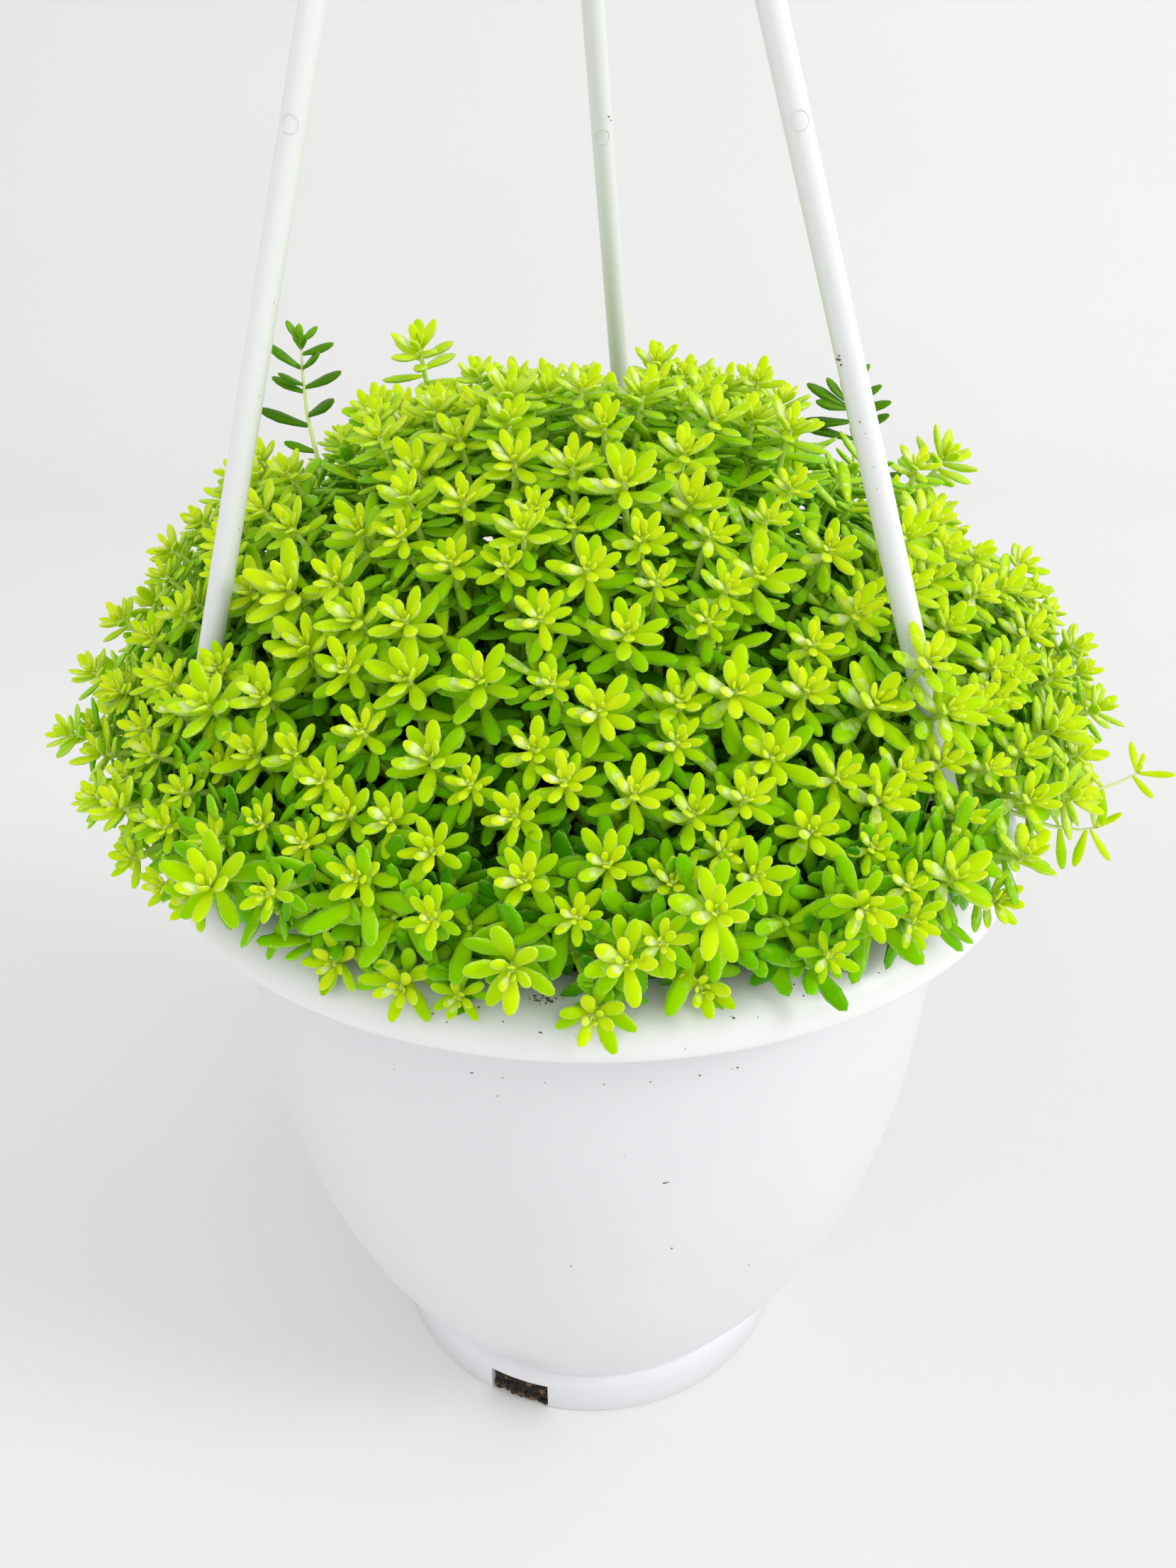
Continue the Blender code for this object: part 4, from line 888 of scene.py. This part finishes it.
# Stem skin, dark green at the foot to pale at the tip: partly the stem's own colour, partly painted shade
# deep in the mound
finish = Finish("pale_stem_skin")
part, _ = dye_channels(finish)
tone = finish.maths("ADD", part["Green"], finish.spread(finish.noise(700.0, 3.0), 0.0, 1.0, -0.15, 0.15))
pale_stem = finish.made({
    "Base Color": finish.ramp(tone, (0.0, (0.06, 0.24, 0.003)), (0.32, (0.22, 0.52, 0.01)),
                              (0.6, (0.46, 0.73, 0.07)), (0.85, (0.7, 0.87, 0.2)),
                              (1.0, (0.8, 0.9, 0.48))),
    "Roughness": 0.42, "Specular Tint": (1.0, 1.0, 0.3, 1.0),
    "Subsurface Weight": 0.3, "Subsurface Radius": (0.0012, 0.0016, 0.0006), "Subsurface Scale": 1.0})


def plant_piece(name, parts, finishes):
    """One piece from several sets of corners, faces, triangles, dye, painted highlight and finish."""
    points, *faces, dye, painted_highlight, kinds = zip(*parts)
    offset = np.cumsum([0] + [len(p) for p in points])
    finish = np.concatenate([np.full(len(f), kind) for some in faces for f, kind in zip(some, kinds)])
    quads, triangles = (np.concatenate([f + o for f, o in zip(some, offset)]) for some in faces)
    piece = mesh_object(name, np.concatenate(points), quads, triangles, finishes, finish)
    for label, kind, field, values in (("dye", "FLOAT_COLOR", "color", dye),
                                       ("painted_highlight", "FLOAT", "value", painted_highlight)):
        layer = piece.data.attributes.new(label, kind, "POINT")
        layer.data.foreach_set(field, np.concatenate(values).astype(np.float32).ravel())
    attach(piece, "root")
    return piece


# Tufts: ring, number in it, first angle, radius in the soil, and share of the mound at its head
tufts = {}
for ring, count, first, circle, share in (("middle", 1, 0, 0.0, 0.0), ("inner", 6, 30, 0.025, 0.46),
                                          ("outer", 12, 15, 0.0483, 0.78)):
    for k in range(count):
        angle = ROD_ANGLES["left"] + first + 360.0 * k / count
        name = f"tuft_{ring}_{k + 1:02d}" if count > 1 else f"tuft_{ring}"
        tufts[name] = around(angle, circle, 0.1265), mound(np.float64(share), angle) - [0, 0, 0.0085]

# Each kind of shoot: tips, facings, sizes, leaves, tone of the stem's tip, and how finely its rows
# of leaves are made. The shaded shoots' stems end in a darker tone, painted shade.
growth = []
for spots, ways, scale, *make in (
        (tips, facings, sizes, LEAVES, 0.85, ((0, 4, PLAIN, 6), (4, 15, FINE, 8), (15, 23, PLAIN, 6))),
        (deep_tips, deep_facings, deep_sizes, SHADED, 0.5, ((0, 12, PLAIN, 6),))):
    heads = np.array([head for _, head in tufts.values()])
    nearest = np.argmin(np.linalg.norm(spots[:, None] - heads, axis=2), 1)
    growth.append((spots, ways, scale, nearest, *make))
for index, (name, (root, _)) in enumerate(tufts.items()):
    parts = []
    for spots, ways, scale, nearest, table, tip_tone, bands in growth:
        own = nearest == index
        spots, ways, scale, count = spots[own], ways[own], scale[own], own.sum()
        if count == 0:
            continue
        spread = np.sqrt(chance.uniform(0, 1, count)) * 0.0075
        roots = root + around(chance.uniform(0, 360, count), spread, 0.0)
        curve = shoot_curves(roots, spots, ways)
        # Painted light and shade: shoots whose stars lie low get older, darker leaf colour, and those at the
        # top and at both sides, most on the right, younger, paler colour, for the shade low down and the
        # light on top and at the sides; the two long shoots are pale
        age_with_painted_shade = np.interp(spots[:, 2], [0.135, 0.155, 0.185, 0.21], [1.4, 1.16, 0.91, 0.84])
        age_with_painted_shade = age_with_painted_shade * np.interp(spots[:, 0], [-0.085, -0.05, 0.035, 0.08], [0.86, 1.0, 1.0, 0.72])
        age_with_painted_shade[np.isin(spots[:, 2], long_tips[:, 2])] = 0.6
        made = leafy(curve, ways, scale, age_with_painted_shade, table, chance.uniform(0, 360, count))
        parts.append(stems(curve[:, ::4], 0.001, 0.00062, 6, 0.0, tip_tone))
        row = np.tile(np.arange(len(table)), count)
        for first, last, along, sides in bands:
            rows = (row >= first) & (row < last)
            parts.append(leaves(*[a[rows] for a in made], along, sides))
    piece = plant_piece(name.replace("tuft", "shoots"), parts, [golden, pale_stem])
    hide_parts(name)


# Odd sprigs: two dark ones of the green form of the plant, which has come up between the golden
# shoots at the back, and two thin golden trailers that hang past the rim on the right. Their leaves
# stand in wide spaced pairs.

# Leaves: millimetres below the tip, turn round the stem from the right (90 is straight back), angle
# up from level, length in millimetres, width share, upward bend, age
SPRIGS = {
    "sprig_left": ("dark_sprig_left", "dark", 0.0007, DARK_LEFT, [
        [0.2, 180, 56, 5, 0.42, 0.06, 0.1], [0.2, 10, 36, 4.8, 0.42, 0.06, 0.1],
        [0.1, 270, 70, 3.6, 0.42, 0.04, 0], [0.1, 100, 74, 3.6, 0.42, 0.04, 0],
        [1.6, 300, 38, 4.8, 0.4, 0.1, 0.3], [1.6, 120, 42, 4.6, 0.4, 0.1, 0.3],
        [2.6, 8, 12, 7.2, 0.33, 0.1, 0.5], [5.5, 188, 33, 8.8, 0.31, 0.1, 0.5],
        [5.5, 340, 34, 6, 0.42, 0.06, 0.5], [8.7, 215, 22, 6.2, 0.36, 0.1, 0.7],
        [10.2, 170, 18, 7.4, 0.34, 0.12, 0.6], [9.3, 5, 16, 8.8, 0.31, 0.12, 0.7],
        [17.1, 180, 14, 11.2, 0.28, 0.12, 0.9], [15, 350, 26, 7.4, 0.44, 0.06, 0.8],
        [22.5, 175, 12, 7, 0.36, 0.1, 0.4], [25, 20, 18, 5.8, 0.34, 0.1, 0.4]]),
    "sprig_right": ("dark_sprig_right", "dark", 0.0008, DARK_RIGHT, [
        [0.1, 100, 70, 4, 0.48, 0.04, 0.1], [0.1, 280, 70, 4, 0.48, 0.04, 0.1],
        [0.2, 8, 47, 8, 0.36, 0.04, 0.3], [1.9, 170, 44, 6.6, 0.46, 0.04, 0.4],
        [3, 5, 28, 8.6, 0.36, 0.04, 0.5], [3.3, 180, 27, 10.6, 0.36, 0.02, 0.6],
        [3.7, 200, 12, 8.5, 0.42, 0.04, 0.6], [4.7, 0, 13, 9.6, 0.36, 0.04, 0.6],
        [6.6, 185, -2, 11.2, 0.34, 0.08, 0.9], [8.6, 8, 20, 8.8, 0.38, 0.04, 0.7],
        [10.7, 182, 14, 15.6, 0.24, 0.03, 1], [11, 80, 20, 8, 0.36, 0.04, 0.9],
        [20.5, 0, 11, 11, 0.3, 0.05, 0.9], [20.5, 190, 5, 11, 0.3, 0.05, 0.9]]),
    "trailer_upper": (None, "golden", 0.00055, [
        (0.044, -0.015, 0.13), (0.056, -0.021, 0.148), (0.07, -0.028, 0.1475),
        (0.08, -0.03, 0.1425), (0.088, -0.03, 0.145), (0.0938, -0.03, 0.1495)], [
        [0.1, 60, 60, 3.4, 0.3, 0.05, 0.1], [0.1, 240, 50, 3.6, 0.3, 0.05, 0.1],
        [0.4, 330, 10, 6, 0.27, 0.03, 0.2], [0.4, 120, 62, 5.6, 0.27, 0.03, 0.2],
        [1.2, 290, -20, 5.6, 0.27, 0.03, 0.3], [1.2, 20, -42, 6.4, 0.26, 0.02, 0.3],
        [6.5, 160, 50, 6.8, 0.24, -0.3, 0.5], [6.5, 280, -72, 6.6, 0.3, 0.05, 0.6],
        [13, 175, 55, 6.2, 0.24, -0.3, 0.6], [13, 290, -60, 6, 0.28, 0.05, 0.7]]),
    "trailer_lower": (None, "golden", 0.00055, [
        (0.044, -0.019, 0.13), (0.056, -0.024, 0.147), (0.069, -0.029, 0.144),
        (0.078, -0.03, 0.1385), (0.084, -0.03, 0.1372), (0.089, -0.03, 0.1385)], [
        [0.1, 60, 60, 3.4, 0.3, 0.05, 0.1], [0.1, 240, 50, 3.6, 0.3, 0.05, 0.1],
        [0.6, 350, 40, 5.2, 0.27, 0.03, 0.2], [0.6, 170, 70, 5.6, 0.26, 0.1, 0.3],
        [1.4, 320, -50, 6.6, 0.25, 0.05, 0.3], [2, 230, -66, 7, 0.26, 0.05, 0.4],
        [6.8, 190, 62, 8, 0.22, -0.2, 0.6], [6.8, 300, -74, 7.8, 0.28, 0.04, 0.7],
        [13, 180, 50, 6, 0.24, -0.2, 0.7], [13, 290, -60, 6, 0.28, 0.05, 0.8]])}
# After the age stops: pale foot colour, pale margin colour, painted highlight colour, and spread of age
# between shoots
dark_skin = leaf_finish(
    "dark_leaf_skin", [(0.0, (0.2, 0.44, 0.012)), (0.5, (0.09, 0.27, 0.006)), (1.0, (0.045, 0.155, 0.006))],
    (0.12, 0.28, 0.03), (0.14, 0.34, 0.05), (0.16, 0.36, 0.05), 0.06)
for name, (node, kind, stem_radius, knots, table) in SPRIGS.items():
    curve = along_knots(knots)
    down, turn, climb, length, width, bend, age = (np.array(table) * [MM, 1, 1, MM, 1, 1, 1]).T
    back = curve[::-1]
    run = np.cumsum(np.linalg.norm(np.diff(back, axis=0, prepend=back[:1]), axis=1))
    place = np.stack([np.interp(down, run, back[:, k]) for k in range(3)], 1)
    way = around(turn, np.cos(np.radians(climb)), np.sin(np.radians(climb)))
    top = around(turn, -np.sin(np.radians(climb)), np.cos(np.radians(climb)))
    roll = np.cross(way, top) @ np.array([0.0, -1.0, 0.0])
    top = unit(top + 0.6 * roll[:, None] * np.cross(way, top))
    dye = chance.uniform(0.3, 0.7, len(table))
    age = age * (1.0 if kind == "dark" else 0.65)
    width = width * (0.84 if name == "sprig_right" else 1.0)
    parts = [stems(curve[None], 1.2 * stem_radius, 0.6 * stem_radius, 8, 0.85, 1.0),
             leaves(place, way, top, length, width, bend, age, dye, FINE, 8)]
    piece = plant_piece(name, parts, [dark_skin if kind == "dark" else golden, pale_stem])
    if node:
        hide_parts(node)


# Studio: a pale floor that curves up into a backdrop, a broad soft light from the right with a
# smaller stronger one beside it, weak ones from above the front and from the left, one for the
# backdrop, and a white surround.
bend = arc((0.75, 0.6), (0.6, 0.6), -90.0, 0.0, 24)
line = np.concatenate([[[-3.0, 0.0], [0.75, 0.0]], bend[1:], [[1.35, 2.4]]])
sheet = np.stack(np.broadcast_arrays(np.linspace(-3.0, 3.0, 3), line[:, :1], line[:, 1:]), -1).reshape(-1, 3)
cell = np.arange(len(line) - 1)[:, None] * 3 + np.arange(2)
faces = np.stack([cell, cell + 1, cell + 4, cell + 3], -1).reshape(-1, 4)
finish = Finish("pale_paper")
shaded = finish.ramp(finish.noise(3.0), (0.3, (0.83, 0.828, 0.822)), (0.7, (0.85, 0.848, 0.842)))
where = finish.node("SeparateXYZ", {"Vector": finish.place}).outputs
# Painted shade: the floor is darker to the right of the pot in front, where the lights from the right fall
# strongest
near = finish.spread(where["Y"], 0.15, 0.6, 1.0, 0.0)
painted_shade = finish.maths("MULTIPLY", finish.spread(where["X"], -0.12, 0.15), near)
paper = finish.made({"Base Color": finish.blend(painted_shade, shaded, (0.765, 0.763, 0.757)), "Roughness": 0.7})
backdrop = mesh_object("backdrop", sheet, faces, np.zeros((0, 3), int), [paper])


def soft_light(name, place, target, size, power, colour):
    """A square area light aimed at a point."""
    lamp = bpy.data.lights.new(name, "AREA")
    lamp.size = size
    lamp.energy = power
    lamp.color = colour
    item = bpy.data.objects.new(name, lamp)
    item.location = place
    item.rotation_euler = (Vector(target) - Vector(place)).to_track_quat("-Z", "Y").to_euler()
    bpy.context.scene.collection.objects.link(item)


soft_light("window", (1.05, -0.2, 0.85), (0, 0, 0.12), 1.0, 1.0, (1.0, 1.0, 0.99))
soft_light("lamp", (1.2, -0.42, 0.93), (0, 0, 0.14), 0.44, 7.0, (1.0, 1.0, 0.99))
soft_light("fill", (0.05, -1.1, 0.95), (0, 0, 0.1), 1.0, 2.3, (1.0, 1.0, 1.0))
soft_light("left_wall", (-1.15, -0.05, 0.65), (0, 0, 0.1), 1.0, 0.7, (1.0, 1.0, 1.0))
soft_light("wash", (1.1, 0.45, 0.75), (0.45, 0.95, 0.1), 0.5, 0.75, (1.0, 1.0, 0.99))
world = bpy.data.worlds.new("white_surround")
world.use_nodes = True
world.node_tree.nodes["Background"].inputs["Color"].default_value = (1.0, 1.0, 1.0, 1.0)
world.node_tree.nodes["Background"].inputs["Strength"].default_value = 0.831
bpy.context.scene.world = world
bpy.context.scene.view_settings.view_transform = "Standard"
bpy.context.scene.view_settings.look = "None"
